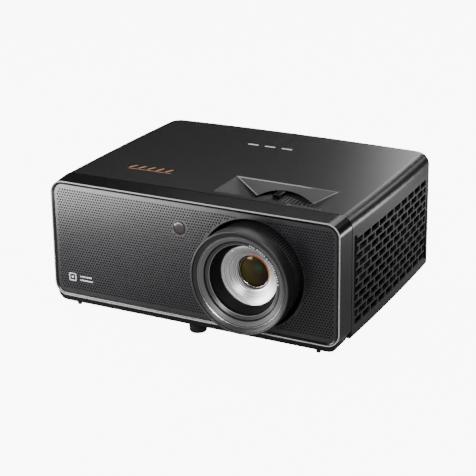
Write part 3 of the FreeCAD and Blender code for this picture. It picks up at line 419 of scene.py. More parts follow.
def perforated(name, outline, holes, to_space, depth, floors=None):
    """A plate cut with holes. to_space(u, v, d) gives a point d below the face; floors close the holes."""
    loops = [outline] + holes
    flat = [Vector(point) for loop in loops for point in loop]
    edges = []
    base = 0
    for loop in loops:
        edges += [(base + i, base + (i + 1) % len(loop)) for i in range(len(loop))]
        base += len(loop)
    spots, _, faces, _, _, _ = delaunay_2d_cdt(flat, edges, [], 1, 1e-7)
    taken = hole_test(holes)
    vertices = [to_space(p.x, p.y, 0.0) for p in spots]
    keep = [f for f in faces if not taken(sum((spots[i] for i in f), Vector((0, 0))) / len(f))]
    result = [tuple(f) for f in keep]
    indices = [0] * len(result)
    for number, loop in enumerate(loops):
        top = len(vertices)
        count = len(loop)
        vertices += [to_space(u, v, 0.0) for u, v in loop]
        vertices += [to_space(u, v, depth) for u, v in loop]
        for i in range(count):
            after = (i + 1) % count
            result.append((top + i, top + after, top + count + after, top + count + i))
            indices.append(0 if number == 0 else 1)
        if floors and floors(number):
            result.append(tuple(range(top + count, top + 2 * count)))
            indices.append(1)
    if not floors:
        bottom = len(vertices)
        vertices += [to_space(p.x, p.y, depth) for p in spots]
        result += [tuple(bottom + i for i in reversed(f)) for f in keep]
        indices += [0] * len(keep)
    obj = mesh_object(name, vertices, result, indices)
    fix_normals(obj)
    return obj


def hole_test(holes):
    """A quick test of whether a point is inside one of many holes."""
    size = 0.012
    grid = {}
    for hole in holes:
        us = [p[0] for p in hole]
        vs = [p[1] for p in hole]
        for i in range(int(min(us) // size), int(max(us) // size) + 1):
            for j in range(int(min(vs) // size), int(max(vs) // size) + 1):
                grid.setdefault((i, j), []).append(hole)

    def inside(point):
        for hole in grid.get((int(point.x // size), int(point.y // size)), []):
            crossings = False
            for (u0, v0), (u1, v1) in zip(hole, hole[1:] + hole[:1]):
                if (v0 > point.y) != (v1 > point.y):
                    if point.x < (u1 - u0) * (point.y - v0) / (v1 - v0) + u0:
                        crossings = not crossings
            if crossings:
                return True
        return False

    return inside


# ---------------------------------------------------------------- front of the case

def front_panel():
    """The fascia: a plate full of small blind dimples in staggered rows."""
    pitch = 3.565 * MM
    row = 3.29 * MM
    margin = 2.6 * MM
    dimple = 1.25 * MM
    low = (PANEL_LOW.x, PANEL_LOW.z)
    high = (PANEL_HIGH.x, PANEL_HIGH.z)
    window = centre("ir_window")
    window_r = (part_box("ir_window")[1].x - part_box("ir_window")[0].x) / 2
    well_r = (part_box("lens_well")[1].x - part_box("lens_well")[0].x) / 2
    holes = [circle_loop(LENS.x, LENS.z, well_r, 160), circle_loop(window.x, window.z, window_r, 48)]
    corner = CORNER_R - BEZEL
    columns = int((high[0] - low[0]) / pitch / 2) + 1
    rows = int((high[1] - low[1]) / row / 2) + 1
    middle = ((low[0] + high[0]) / 2, (low[1] + high[1]) / 2)
    for i in range(-columns, columns + 1):
        for j in range(-rows, rows + 1):
            u = middle[0] + (i + (j % 2) / 2) * pitch
            v = middle[1] + j * row
            clear = dimple + margin
            inner_u = min(u - low[0], high[0] - u)
            inner_v = min(v - low[1], high[1] - v)
            if inner_u < clear or inner_v < clear:
                continue
            in_corner = inner_u < corner and inner_v < corner
            if in_corner and math.hypot(corner - inner_u, corner - inner_v) > corner - clear:
                continue
            if math.hypot(u - LENS.x, v - LENS.z) < well_r + dimple + 0.8 * MM:
                continue
            if math.hypot(u - window.x, v - window.z) < window_r + dimple + 0.8 * MM:
                continue
            holes.append(circle_loop(u, v, dimple, 6))
    outline = rounded_loop(low, high, corner, 10)

    def to_space(u, v, depth):
        return (u, PANEL_LOW.y + depth, v)

    panel = perforated("dimpled_fascia", outline, holes, to_space, 0.9 * MM, lambda number: number > 2)
    # Darker floors in the dimples: painted shade in the hollows.
    floor = moulded("dimple_floor_painted_shade", (0.006, 0.006, 0.007), 0.6, grain=2000, height=0.00001, specular=0.2)
    finish_piece(panel, "housing", "fascia_plastic", [MATERIALS["fascia_plastic"], floor], ["front_panel"])


def loop_sweep(name, sections, steps=10):
    """Rounded rectangles joined in turn; each section is (grow, y, material) about the face outline."""
    rings = []
    for grow, y, _ in sections:
        low = (FACE_LOW.x - grow, FACE_LOW.z - grow)
        high = (FACE_HIGH.x + grow, FACE_HIGH.z + grow)
        rings.append([(u, y, v) for u, v in rounded_loop(low, high, CORNER_R + min(grow, 0), steps)])
    vertices = [Vector(p) for ring in rings for p in ring]
    count = len(rings[0])
    faces = []
    indices = []
    for row in range(len(rings)):
        last = (row + 1) % len(rings)
        for i in range(count):
            after = (i + 1) % count
            faces.append((row * count + i, row * count + after, last * count + after, last * count + i))
            indices.append(sections[row][2])
    obj = mesh_object(name, vertices, faces, indices)
    fix_normals(obj)
    return obj


def front_collar():
    """The gloss band with a painted highlight line along its back edge, its rolled front lip and the bright
    line round the face.
    """
    front = FACE_HIGH.y
    back = COLLAR_HIGH.y
    flare = COLLAR_HIGH.x - FACE_HIGH.x
    # Material index 1 on the band's back bevel is a painted highlight line.
    band = loop_sweep("gloss_collar", [
        (0.0, front, 0), (flare * 0.5, (front + back) / 2, 0), (flare * 0.96, back - 0.8 * MM, 1),
        (flare * 0.7, back, 0), (-3.0 * MM, back, 0), (-BEZEL, back - 1 * MM, 0),
        (-BEZEL, PANEL_LOW.y + 3 * MM, 0), (-BEZEL, PANEL_LOW.y - 0.6 * MM, 0),
        (-BEZEL + 0.8 * MM, front, 0)])
    finish_piece(band, "housing", "gloss_black_plastic", [MATERIALS["gloss_black_plastic"], PAINTED_HIGHLIGHT_GREY],
                 ["front_collar"])
    chin()
    width = 1.4 * MM
    edge = loop_sweep("bright_edge", [
        (0.0, front, 0), (0.0, FACE_Y + 0.5 * MM, 0), (-0.3 * MM, FACE_Y + 0.1 * MM, 0),
        (-0.6 * MM, FACE_Y, 0),
        (-width + 0.3 * MM, FACE_Y + 0.1 * MM, 0), (-width, FACE_Y + 0.5 * MM, 0), (-width, front, 0)])
    finish_piece(edge, "housing", "bright_trim", [SATIN_SILVER], ["front_trim"])
    lip = loop_sweep("bezel_lip", [
        (-width, front + 0.05 * MM, 0), (-width, FACE_Y + 0.55 * MM, 0),
        (-BEZEL + 0.9 * MM, FACE_Y + 0.9 * MM, 0),
        (-BEZEL, FACE_Y + 1.6 * MM, 0), (-BEZEL, front + 0.6 * MM, 0)])
    finish_piece(lip, "housing", "gloss_black_plastic", [MATERIALS["gloss_black_plastic"]])


def lower_half(half, low, radius, top, steps=10):
    """Points down one side, round both lower corners and up the other side."""
    points = [(-half, top)]
    for corner, start in ((-1, 180), (1, 270)):
        for step in range(steps + 1):
            angle = math.radians(start + 90 * step / steps)
            across = corner * (half - radius) + radius * math.cos(angle)
            points.append((across, low + radius + radius * math.sin(angle)))
    return points + [(half, top)]


def chin():
    """The deep lower edge of the gloss band, below and behind the bright line."""
    front = FACE_Y + 1.5 * MM
    back = COLLAR_HIGH.y
    top = FACE_LOW.z + 24 * MM
    half_width = 186
    corner = 12 * MM
    rings = []
    rounding = ((1.2, front), (0.35, front + 0.35 * MM), (0.0, front + 1.2 * MM), (0.0, back - 0.6 * MM),
                (0.6, back))
    for inset, y in rounding:
        ring = lower_half((half_width - inset) * MM, COLLAR_LOW.z + inset * MM, corner, top)
        rings.append([(u, y, v) for u, v in ring])
    inner = lower_half(PANEL_HIGH.x, PANEL_LOW.z, CORNER_R - BEZEL, top)
    rings.append([(u, back, v) for u, v in inner])
    rings.append([(u, FACE_HIGH.y + 2 * MM, v) for u, v in inner])
    count = len(rings[0])
    vertices = [point for ring in rings for point in ring]
    faces = []
    for row in range(len(rings)):
        last = (row + 1) % len(rings)
        for i in range(count - 1):
            faces.append((row * count + i, row * count + i + 1, last * count + i + 1, last * count + i))
    faces.append(tuple(row * count for row in range(len(rings))))
    faces.append(tuple(row * count + count - 1 for row in range(len(rings))))
    lower = mesh_object("gloss_chin", vertices, faces)
    fix_normals(lower)
    finish_piece(lower, "housing", "gloss_black_plastic", [MATERIALS["gloss_black_plastic"]])


def receiver_window():
    """The remote receiver: a dark lens with a soft edge and a thin ring."""
    low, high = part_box("ir_window")
    radius = (high.x - low.x) / 2
    middle = Vector((centre("ir_window").x, low.y, centre("ir_window").z))
    window = lathe("receiver_lens", [
        (0.0001 * MM, 0.1 * MM, 0), (radius * 0.6, 0.12 * MM, 0), (radius * 0.9, 0.25 * MM, 0),
        (radius - 0.1 * MM, 0.7 * MM, 0), (radius - 0.1 * MM, 2.9 * MM, 0), (0.0001 * MM, 2.9 * MM, 0)],
        middle, segments=64)
    finish_piece(window, "housing", "dark_window", [MATERIALS["dark_window"]], ["ir_window"])


# ---------------------------------------------------------------- side grilles

def side_grille(side):
    """The slotted side: staggered rounded slots through a skin that follows the case's bow."""
    node = f"{side}_side_grille"
    low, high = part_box(node)
    sign = 1 if side == "right" else -1
    rows, full = 11, 10
    length, height, radius = 20.8 * MM, 7.3 * MM, 1.8 * MM
    pitch, rise = 23.5 * MM, 9.6 * MM
    start = low.y + 2.5 * MM
    base = low.z + 3.9 * MM
    half = length - pitch / 2
    holes = []
    for row in range(rows):
        bottom = base + row * rise
        spans = [(start + i * pitch, length) for i in range(full)]
        if row % 2:
            spans = [(start + (i + 0.5) * pitch, length) for i in range(full - 1)]
            spans += [(start, half), (start + (full - 0.5) * pitch, half)]
        for begin, wide in spans:
            holes.append(rounded_loop((begin, bottom), (begin + wide, bottom + height), radius, 4))
    outline = bordered(low.y, high.y, low.z, high.z, 8 * MM)
    skin = bow_of(node, sign)

    def to_space(u, v, depth):
        return (sign * (skin(u) - depth), u, v)

    grille = perforated(f"{side}_slotted_skin", outline, holes, to_space, 3 * MM)
    finish_piece(grille, "housing", "grille_plastic", [MATERIALS["grille_plastic"]] * 2, [node])


def bordered(u0, u1, v0, v1, step):
    """A rectangle's outline with extra points, so that it can follow a bow."""
    count = int((u1 - u0) / step)
    across = [u0 + (u1 - u0) * i / count for i in range(count)]
    back = [u1 - (u1 - u0) * i / count for i in range(count)]
    return [(u, v0) for u in across] + [(u, v1) for u in back]


def bow_of(node, sign):
    """The outer face's half-width along Y, from a parabola through the CAD node's own outermost points."""
    low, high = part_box(node)
    points = [vertex.co for vertex in NODES[node].data.vertices]
    samples = []
    for wanted in (low.y, (low.y + high.y) / 2, high.y):
        near = [p for p in points if abs(p.y - wanted) < 12 * MM]
        outer = max(near, key=lambda p: sign * p.x)
        samples.append((outer.y, abs(outer.x)))
    (y0, x0), (y1, x1), (y2, x2) = samples

    def half_width(y):
        return (
            x0 * (y - y1) * (y - y2) / ((y0 - y1) * (y0 - y2))
            + x1 * (y - y0) * (y - y2) / ((y1 - y0) * (y1 - y2))
            + x2 * (y - y0) * (y - y1) / ((y2 - y0) * (y2 - y1))
        )

    return half_width


# ---------------------------------------------------------------- lens

def in_mm(*points):
    """Profile points given in millimetres, as lathe() takes them."""
    return [(radius * MM, along * MM, material) for radius, along, material in points]


def lens_front():
    """Hood, stepped ring, cones, retainer and glass, turned about the lens axis."""
    r = HOOD_R
    rim = in_mm((59.4, 0.3, 1), (59.9, 0, 1))
    side = [(r - 0.7 * MM, 0, 0), (r - 0.2 * MM, 0.3 * MM, 0), (r, 0.9 * MM, 0), (r, 18.4 * MM, 0),
            (r - 0.9 * MM, 19.6 * MM, 0)]
    bore = in_mm((50.1, 19.8, 0), (50.1, 14.2, 0), (53.2, 14.0, 0), (53.2, 4.3, 2), (53.7, 3.9, 3),
                 (54.1, 3.6, 2), (58.9, 1.4, 4))
    hood = lathe("hood_shell", rim + side + bore, LENS)
    finish_piece(hood, "housing", "hood_plastic",
                 [MATERIALS["hood_plastic"], SOFT_GREY, LIP_GREY, EDGE_SILVER, MATERIALS["lens_black"]],
                 ["lens_hood"])
    steps = lathe("stepped_ring", in_mm(
        (53.1, 4.35, 0), (52.6, 4.3, 0), (47.9, 6.8, 2), (47.3, 7.2, 2), (47.1, 7.9, 2), (46.2, 8.4, 3),
        (42.9, 10.4, 1), (42.5, 10.7, 2), (42.1, 11.0, 2), (42.0, 13.9, 2), (53.1, 13.9, 0)), LENS)
    finish_piece(steps, "housing", "hood_plastic", [STEP_GREY, GREY_INK, MATERIALS["lens_black"], SOFT_GREY],
                 ["lens_step_ring"])
    baffle = in_mm((44.0, 26.9, 0), (44.0, 14.1, 0), (41.6, 14.1, 0))
    for i in range(12):
        at = i / 12
        radius = (41.4 - 5.2 * at) * MM
        along = (14.6 + 12.0 * at) * MM
        baffle += [(radius, along, 0), (radius - 0.42 * MM, along + 0.25 * MM, 0)]
    baffle += in_mm((36.1, 26.9, 0))
    cone = lathe("baffled_cone", baffle, LENS)
    finish_piece(cone, "housing", "lens_black", [MATERIALS["lens_black"]], ["lens_inner_cone"])
    lathe_silver_cone()
    retainer = lathe("front_retainer", in_mm(
        (17.7, 41.0, 0), (18.4, 40.2, 1), (19.0, 39.9, 0), (20.4, 39.9, 0), (21.2, 41.1, 0), (23.9, 41.1, 0),
        (23.9, 49.8, 0), (22.1, 49.8, 0), (22.1, 42.5, 0), (17.7, 41.8, 0)), LENS, segments=96)
    finish_piece(retainer, "housing", "lens_black", [MATERIALS["lens_black"], ROSE_LINE], ["lens_retainer"])
    crescent()
    curve = 110.0
    rim_radius = 21.9
    apex = 40.3
    back_face = 49.0 * MM
    rings = 14
    glass = [(AXIS_GAP, apex * MM, 0)]
    for i in range(1, rings + 1):
        radius = rim_radius * i / rings
        glass.append((radius * MM, (apex + curve - math.sqrt(curve ** 2 - radius ** 2)) * MM, 0))
    glass += [(rim_radius * MM, back_face, 0), (AXIS_GAP, back_face, 0)]
    dome = lathe("front_glass", glass, LENS, segments=96)
    finish_piece(dome, "housing", "glass", [MATERIALS["glass"]], ["front_lens_element"])
    low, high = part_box("lens_well")
    well_r = (high.x - low.x) / 2
    front = low.y - LENS.y
    back = high.y - LENS.y
    well = lathe("lens_funnel", [
        (well_r - 0.05 * MM, front + 0.1 * MM, 0), (well_r - 0.5 * MM, front - 0.35 * MM, 0),
        (well_r - 1.2 * MM, front + 0.2 * MM, 0), (well_r - 3.6 * MM, back - 0.5 * MM, 0),
        (well_r - 2.6 * MM, back - 0.1 * MM, 0)], LENS)
    finish_piece(well, "housing", "lens_black", [MATERIALS["lens_black"]], ["lens_well"])


def crescent():
    """A painted coating reflection on the retainer's inner edge: red at the top, amber towards the right."""
    steps = 36
    vertices = []
    faces = []
    for i in range(steps + 1):
        at = i / steps
        angle = math.radians(118 - 150 * at)
        wide = 2.5 * MM * math.sin(math.pi * min(max(at, 0.02), 0.98)) ** 0.6
        for radius, along in ((20.3 * MM, 39.7 * MM), (20.3 * MM - wide, 39.75 * MM)):
            vertices.append(LENS + Vector((radius * math.cos(angle), along, radius * math.sin(angle))))
    for i in range(steps):
        faces.append((2 * i, 2 * i + 1, 2 * i + 3, 2 * i + 2))
    arc = mesh_object("painted_reflection_crescent", vertices, faces)
    material, tree, shader, coords = new_material("painted_amber_reflection")
    height = tree.nodes.new("ShaderNodeSeparateXYZ")
    tree.links.new(coords.outputs["Object"], height.inputs["Vector"])
    level = spread(tree, height.outputs["Z"], 0.0, 1.0)
    level.inputs["From Min"].default_value = LENS.z - 8 * MM
    level.inputs["From Max"].default_value = LENS.z + 18 * MM
    # Painted reflection colour: amber low down, turning red towards the top.
    tint = ramp(tree, level.outputs["Result"], (0.62, 0.30, 0.06), (0.30, 0.05, 0.03), 0.1, 0.9)
    tree.links.new(tint.outputs["Color"], shader.inputs["Base Color"])
    fine = noise(tree, coords, 400, 2)
    rough = spread(tree, fine.outputs["Fac"], 0.25, 0.4)
    tree.links.new(rough.outputs["Result"], shader.inputs["Roughness"])
    finish_piece(arc, "housing", "glass", [material])


def lathe_silver_cone():
    """The bright cone round the glass: fine turned ridges, some with a rose or grey line."""
    line_of = {1: 3, 2: 1, 4: 3, 6: 3, 7: 1, 8: 3}
    profile = in_mm((43.9, 27.1, 2), (36.2, 27.0, 1), (35.6, 27.2, 0))
    steps = 9
    for i in range(steps):
        at = i / steps
        radius = (35.4 - 14.6 * at) * MM
        along = (27.6 + 10.8 * at ** 1.15) * MM
        tint = line_of.get(i, 0)
        profile += [(radius, along, 0), (radius - 1.15 * MM, along + 0.35 * MM, tint),
                    (radius - 1.3 * MM, along + 0.95 * MM, 0)]
    profile += in_mm((20.3, 39.5, 2), (21.6, 40.8, 2), (37.5, 29.9, 2), (43.9, 29.9, 2))
    cone = lathe("turned_cone", profile, LENS)
    finish_piece(cone, "housing", "silver_reflector",
                 [MATERIALS["silver_reflector"], ROSE_LINE, MATERIALS["lens_black"], STEP_GREY],
                 ["lens_silver_cone"])


def ribbed_ring(name, node, body, ribs, depth, edge):
    """A grip ring with ribs along the lens axis."""
    low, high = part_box(node)
    outer = (high.x - low.x) / 2
    front = low.y - LENS.y
    back = high.y - LENS.y
    inner = 50.2 * MM
    profile = [
        (inner, front + 0.1 * MM), (outer - depth * 1.2, front + 0.1 * MM), (outer - 0.4 * MM, front + edge),
        (outer, front + edge + 0.6 * MM), (outer, back - edge - 0.6 * MM), (outer - 0.4 * MM, back - edge),
        (outer - depth * 1.2, back - 0.1 * MM), (inner, back - 0.1 * MM)]
    middle = Vector(((low.x + high.x) / 2, LENS.y, (low.z + high.z) / 2))
    ring = lathe(name, profile, middle, segments=ribs * 8, ribs=ribs, depth=depth, rows=(2, 3, 4, 5))
    # Slot 1 darkens the groove bottoms between the ribs: painted shade in the grooves.
    finish_piece(ring, body, "hood_plastic", [RIB_GREY, MATERIALS["lens_black"]], [node])
    return ring


def scale_marks():
    """Generic index marks round the stepped ring, where the real one is lettered."""
    strokes = []
    inner = 43.4
    face_radius, face_depth, slope = 42.9, 10.4, 2.0 / 3.3
    lift = 0.08
    random.seed(11)
    angle = 4.0
    while angle < 80.0:
        wide = random.choice((1.1, 1.4, 1.6))
        strokes.append((angle, wide, random.choice((2.0, 2.6, 2.6))))
        angle += 3.4 if random.random() < 0.75 else 5.4
    vertices = []
    faces = []
    for angle, wide, tall in strokes:
        turn = math.radians(angle)
        base = len(vertices)
        for across, out in ((-wide / 2, 0), (wide / 2, 0), (wide / 2, tall), (-wide / 2, tall)):
            radius = inner + out
            depth = face_depth - (radius - face_radius) * slope
            x = radius * math.cos(turn) - across * math.sin(turn)
            z = radius * math.sin(turn) + across * math.cos(turn)
            vertices.append(LENS + Vector((x * MM, (depth - lift) * MM, z * MM)))
        faces.append((base, base + 1, base + 2, base + 3))
    marks = mesh_object("lens_index_marks", vertices, faces)
    finish_piece(marks, "housing", "white_diffuser", [WHITE_INK])


# ---------------------------------------------------------------- roof

def recess_lines():
    """Bright back edge of the roof's well."""
    left, right = LENS.x - WELL_HALF * MM, LENS.x + WELL_HALF * MM
    back = FACE_Y + WELL_BACK * MM
    vertices = []
    faces = []
    steps = 24
    for i in range(steps + 1):
        x = left + (right - left) * i / steps
        top = roof_z(x)
        vertices += [(x, back + 0.25 * MM, top + 0.03 * MM), (x, back - 0.25 * MM, top + 0.02 * MM),
                     (x, back - 0.75 * MM, top - 0.9 * MM)]
    for i in range(steps):
        a = i * 3
        faces += [(a, a + 3, a + 4, a + 1), (a + 1, a + 4, a + 5, a + 2)]
    line = mesh_object("recess_back_line", vertices, faces)
    finish_piece(line, "housing", "bright_trim", [SATIN_SILVER])
    for side in (-1, 1):
        recess_corner(side)


def recess_corner(side):
    """A flat bright strip down one back corner of the well, from the roof to the zoom ring."""
    depth = 18.2 * MM

    def spot(height):
        sunk = (ROOF_TOP - height) / depth
        across = side * (WELL_HALF - 32 * sunk) * MM
        return Vector((LENS.x + across, FACE_Y + (WELL_BACK - 8 * sunk) * MM, height))

    top = spot(roof_z(LENS.x + side * WELL_HALF * MM))
    foot = spot(ROOF_TOP - 0.93 * depth)
    run = (foot - top).normalized()
    inward = Vector((-side, -0.25, 0.0)).normalized()
    lip = run.cross(inward).normalized()
    if lip.z < 0:
        lip = -lip
    vertices = []
    for place, wide in ((top, 2.3 * MM), (foot, 1.7 * MM)):
        vertices += [
            place - inward * wide * 0.35 + lip * 0.5 * MM, place + inward * wide * 0.65 + lip * 0.5 * MM,
            place + inward * wide * 0.65 - lip * 0.8 * MM, place - inward * wide * 0.35 - lip * 0.8 * MM]
    faces = [(0, 1, 5, 4), (1, 2, 6, 5), (2, 3, 7, 6), (3, 0, 4, 7), (0, 3, 2, 1), (4, 5, 6, 7)]
    strip = mesh_object(f"recess_strip_{'right' if side > 0 else 'left'}", vertices, faces)
    fix_normals(strip)
    finish_piece(strip, "housing", "bright_trim", [SATIN_SILVER], ["recess_trim"])


def flat_shapes(name, shapes, to_point, flip=False):
    """One mesh with a face for each flat shape; to_point(u, v) gives a corner's place."""
    vertices = []
    faces = []
    for shape in shapes:
        order = range(len(vertices), len(vertices) + len(shape))
        vertices += [to_point(u, v) for u, v in shape]
        faces.append(tuple(reversed(order)) if flip else tuple(order))
    return mesh_object(name, vertices, faces)


def decal(name, shapes, lift, material, slot):
    """Flat shapes laid on the roof; each shape is a list of (x, y) points."""
    obj = flat_shapes(name, shapes, lambda x, y: (x, y, roof_z(x) + lift))
    form = bmesh.new()
    form.from_mesh(obj.data)
    for face in form.faces:
        if face.normal.z < 0:
            face.normal_flip()
    form.to_mesh(obj.data)
    form.free()
    return finish_piece(obj, "housing", slot, [material])


def stroke(x0, y0, x1, y1, width):
    """A straight stroke as a four-sided shape."""
    along = Vector((x1 - x0, y1 - y0)).normalized()
    side = Vector((-along.y, along.x)) * width / 2
    return [(x0 + side.x, y0 + side.y), (x1 + side.x, y1 + side.y), (x1 - side.x, y1 - side.y),
            (x0 - side.x, y0 - side.y)]


def arc_band(x, y, radius, width, start, end, steps=20):
    """Part of a ring as quads."""
    quads = []
    for i in range(steps):
        a = math.radians(start + (end - start) * i / steps)
        b = math.radians(start + (end - start) * (i + 1) / steps)
        inner, outer = radius - width / 2, radius + width / 2
        corners = ((inner, a), (outer, a), (outer, b), (inner, b))
        quads.append([(x + reach * math.cos(turn), y + reach * math.sin(turn)) for reach, turn in corners])
    return quads


def roof_marks():
    """The generic copper mark, the indicator bars, their small signs and the zoom signs."""
    left = FACE_LOW.x + 65 * MM
    middle_y = FACE_Y + 83 * MM
    shapes = []
    for i in range(5):
        x = left + i * 12.6 * MM
        shapes.append(stroke(x, middle_y - 5 * MM, x + 5 * MM, middle_y + 5 * MM, 2.4 * MM))
    shapes.append(stroke(left - 1 * MM, middle_y - 8.2 * MM, left + 60 * MM, middle_y - 8.2 * MM, 1.1 * MM))
    decal("copper_strokes", shapes, 0.06 * MM, MATERIALS["copper_mark"], "white_diffuser")
    low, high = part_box("indicator_bars")
    pitch = (high.x - low.x - 15 * MM) / 2
    for i in range(3):
        x0 = low.x + i * pitch
        bar(f"indicator_bar_{i + 1}", x0, x0 + 15 * MM, (low.y + high.y) / 2, 3.5 * MM)
        signs = []
        x = x0 + 7.5 * MM
        y = high.y + 7 * MM
        for row in range(4):
            shift = (row % 2 - 0.5) * 1.2 * MM
            under = y + (row * 8.6 + 3.6) * MM
            signs.append(circle_loop(x + shift, y + row * 8.6 * MM, 1.6 * MM, 6, 0.5 * i))
            signs.append(stroke(x - 4.2 * MM, under, x + 4.2 * MM, under, 0.8 * MM))
        decal(f"indicator_signs_{i + 1}", signs, 0.05 * MM, DARK_INK, "charcoal_plastic")
    ticks = []
    x = LENS.x + 34 * MM
    y = FACE_Y + 34.3 * MM
    for i in range(9):
        tall = (3.6 if i in (0, 4, 8) else 2.2) * MM
        ticks.append(stroke(x + i * 4.5 * MM, y, x + i * 4.5 * MM, y + tall, 0.8 * MM))
    ticks.append([(x - 5 * MM, y), (x - 1.5 * MM, y), (x - 3.2 * MM, y + 3.2 * MM)])
    decal("zoom_signs", ticks, 0.05 * MM, GREY_INK, "white_diffuser")


def bar(name, x0, x1, y, width):
    """A round-ended white light bar, slightly domed."""
    outline = rounded_loop((x0, y - width / 2), (x1, y + width / 2), width / 2 - 0.01 * MM, 8)
    middle = ((x0 + x1) / 2, y)
    vertices = []
    levels = ((1.0, -1.5), (1.0, 0.0), (0.96, 0.16), (0.86, 0.26))
    for scale, rise in levels:
        for u, v in outline:
            px = middle[0] + (u - middle[0]) * (1 - (1 - scale) * width / (x1 - x0))
            py = middle[1] + (v - middle[1]) * scale
            vertices.append((px, py, roof_z(px) + rise * MM - 0.1 * MM))
    count = len(outline)
    faces = []
    for level in range(len(levels) - 1):
        for i in range(count):
            after = (i + 1) % count
            base = level * count
            faces.append((base + i, base + after, base + count + after, base + count + i))
    faces.append(tuple(range((len(levels) - 1) * count, len(levels) * count)))
    obj = mesh_object(name, vertices, faces)
    fix_normals(obj)
    finish_piece(obj, "housing", "white_diffuser", [MATERIALS["white_diffuser"]], ["indicator_bars"])


def front_mark():
    """A generic white sign on the fascia: a square frame round a small square, and two rows of dashes."""
    x = FACE_LOW.x + 25 * MM
    z = FACE_LOW.z + 25 * MM
    half = 4.4 * MM
    corners = [(x - half, z - half), (x + half, z - half), (x + half, z + half), (x - half, z + half)]
    shapes = [stroke(*start, *end, 1.1 * MM) for start, end in zip(corners, corners[1:] + corners[:1])]
    shapes.append(stroke(x - 1.3 * MM, z, x + 1.3 * MM, z, 2.6 * MM))
    for row, length in ((2.4, 15.5), (-2.4, 17.5)):
        left = x + 11 * MM
        step = 0
        while step < length:
            wide = 1.9 if int(step * 2) % 3 else 1.2
            level = z + row * MM
            shapes.append(stroke(left + step * MM, level, left + (step + wide) * MM, level, 1.7 * MM))
            step += wide + 0.6
    mark = flat_shapes("front_sign", shapes, lambda u, v: (u, PANEL_LOW.y - 0.05 * MM, v))
    finish_piece(mark, "housing", "white_diffuser", [WHITE_INK])


# ---------------------------------------------------------------- rear, feet and the rest

def keys():
    """Domed round keys with a generic raised sign each."""
    for node in ("enter_button", "up_button", "down_button", "left_button", "right_button", "power_button"):
        radius = 5 * MM
        middle = Vector((centre(node).x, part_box(node)[1].y, centre(node).z))
        key = lathe(node + "_cap", [
            (AXIS_GAP, -0.1 * MM, 0), (radius * 0.5, -0.14 * MM, 0), (radius * 0.84, -0.3 * MM, 0),
            (radius - 0.12 * MM, -0.75 * MM, 0), (radius, -1.4 * MM, 0), (radius, -5.8 * MM, 0),
            (radius + 1.1 * MM, -5.9 * MM, 0), (radius + 1.1 * MM, -6.8 * MM, 0), (AXIS_GAP, -6.8 * MM, 0)],
            middle, segments=48)
        finish_piece(key, node, "key_plastic", [MATERIALS["key_plastic"]], [node])
        sign(node, middle)


def sign(node, middle):
    """The printed sign on a key: a ring, a bar or an arrowhead."""
    turns = {"up_button": 90, "left_button": 0, "down_button": 270, "right_button": 180}
    if node in turns:
        shapes = [circle_loop(0, 0, 2.2 * MM, 3, math.radians(turns[node]))]
    elif node == "enter_button":
        shapes = arc_band(0, 0, 2.0 * MM, 0.6 * MM, 0, 360, 24)
    else:
        shapes = arc_band(0, 0, 2.2 * MM, 0.6 * MM, 120, 420, 20)
        shapes.append(stroke(0, 0.4 * MM, 0, 2.8 * MM, 0.6 * MM))
    mark = flat_shapes(node + "_sign", shapes,
                       lambda u, v: (middle.x + u, middle.y - 0.06 * MM, middle.z + v), flip=True)
    finish_piece(mark, node, "white_diffuser", [WHITE_INK])


def feet():
    """Ribbed screw-foot pads with their threaded studs; the two plain front stops come from case_surfaces."""
    for node in ("front_foot_pad", "left_rear_foot_pad", "right_rear_foot_pad"):
        low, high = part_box(node)
        outer = (high.x - low.x) / 2
        tall = high.z - low.z
        stem = 4.06 * MM
        middle = Vector((centre(node).x, centre(node).y, low.z))
        profile = [
            (AXIS_GAP, 0), (outer - 3.6 * MM, 0), (outer - 2.1 * MM, 0.5 * MM), (outer - 1.3 * MM, 1.8 * MM),
            (outer - 0.2 * MM, tall - 2.4 * MM), (outer, tall - 2.0 * MM), (outer, tall - 0.5 * MM),
            (outer - 0.6 * MM, tall), (stem, tall), (stem, tall - 6 * MM), (AXIS_GAP, tall - 6 * MM)]
        pad = lathe(node + "_ribbed", profile, middle, axis="z", segments=36 * 8, ribs=36, depth=0.35 * MM,
                    rows=(3, 4))
        finish_piece(pad, node, "rubber", [MATERIALS["rubber"], MATERIALS["rubber"]], [node])
        foot = node.replace("_pad", "_stem")
        stem_low, stem_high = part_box(foot)
        threaded(foot, stem_low, stem_high)


def threaded(node, low, high):
    """A stud with rounded thread rings at the real pitch."""
    pitch = 1.5 * MM
    outer = (high.x - low.x) / 2
    middle = Vector(((low.x + high.x) / 2, (low.y + high.y) / 2, low.z))
    profile = [(AXIS_GAP, 0), (outer * 0.85, 0)]
    count = int((high.z - low.z) / pitch)
    for i in range(count):
        profile += [(outer * 0.86, (i + 0.1) * pitch), (outer - 0.02 * MM, (i + 0.5) * pitch),
                    (outer * 0.86, (i + 0.9) * pitch)]
    profile += [(outer * 0.8, high.z - low.z), (AXIS_GAP, high.z - low.z)]
    stud = lathe(node + "_thread", profile, middle, axis="z", segments=48)
    finish_piece(stud, node, "steel", [MATERIALS["steel"]], [node])


def case_surfaces():
    """The CAD shells with their edges softened, and a paler back face in the roof's well."""
    shells = ("top_cover", "bottom_case", "control_recess", "rear_panel", "zoom_lever", "front_stops",
              "ac_inlet", "rear_ports", "lens_barrel", "lens_mount")
    for node in shells:
        edge = 0.25 if node in ("rear_ports", "ac_inlet", "rear_panel") else 0.35
        piece = refined(node, edge, flat=0.05 if node == "top_cover" else 0.3)
        if node == "control_recess":
            piece.data.materials.append(GUNMETAL)
            for polygon in piece.data.polygons:
                if polygon.normal.y < -0.5 and polygon.normal.z > 0.1:
                    polygon.material_index = 1


# ---------------------------------------------------------------- stage, light and camera

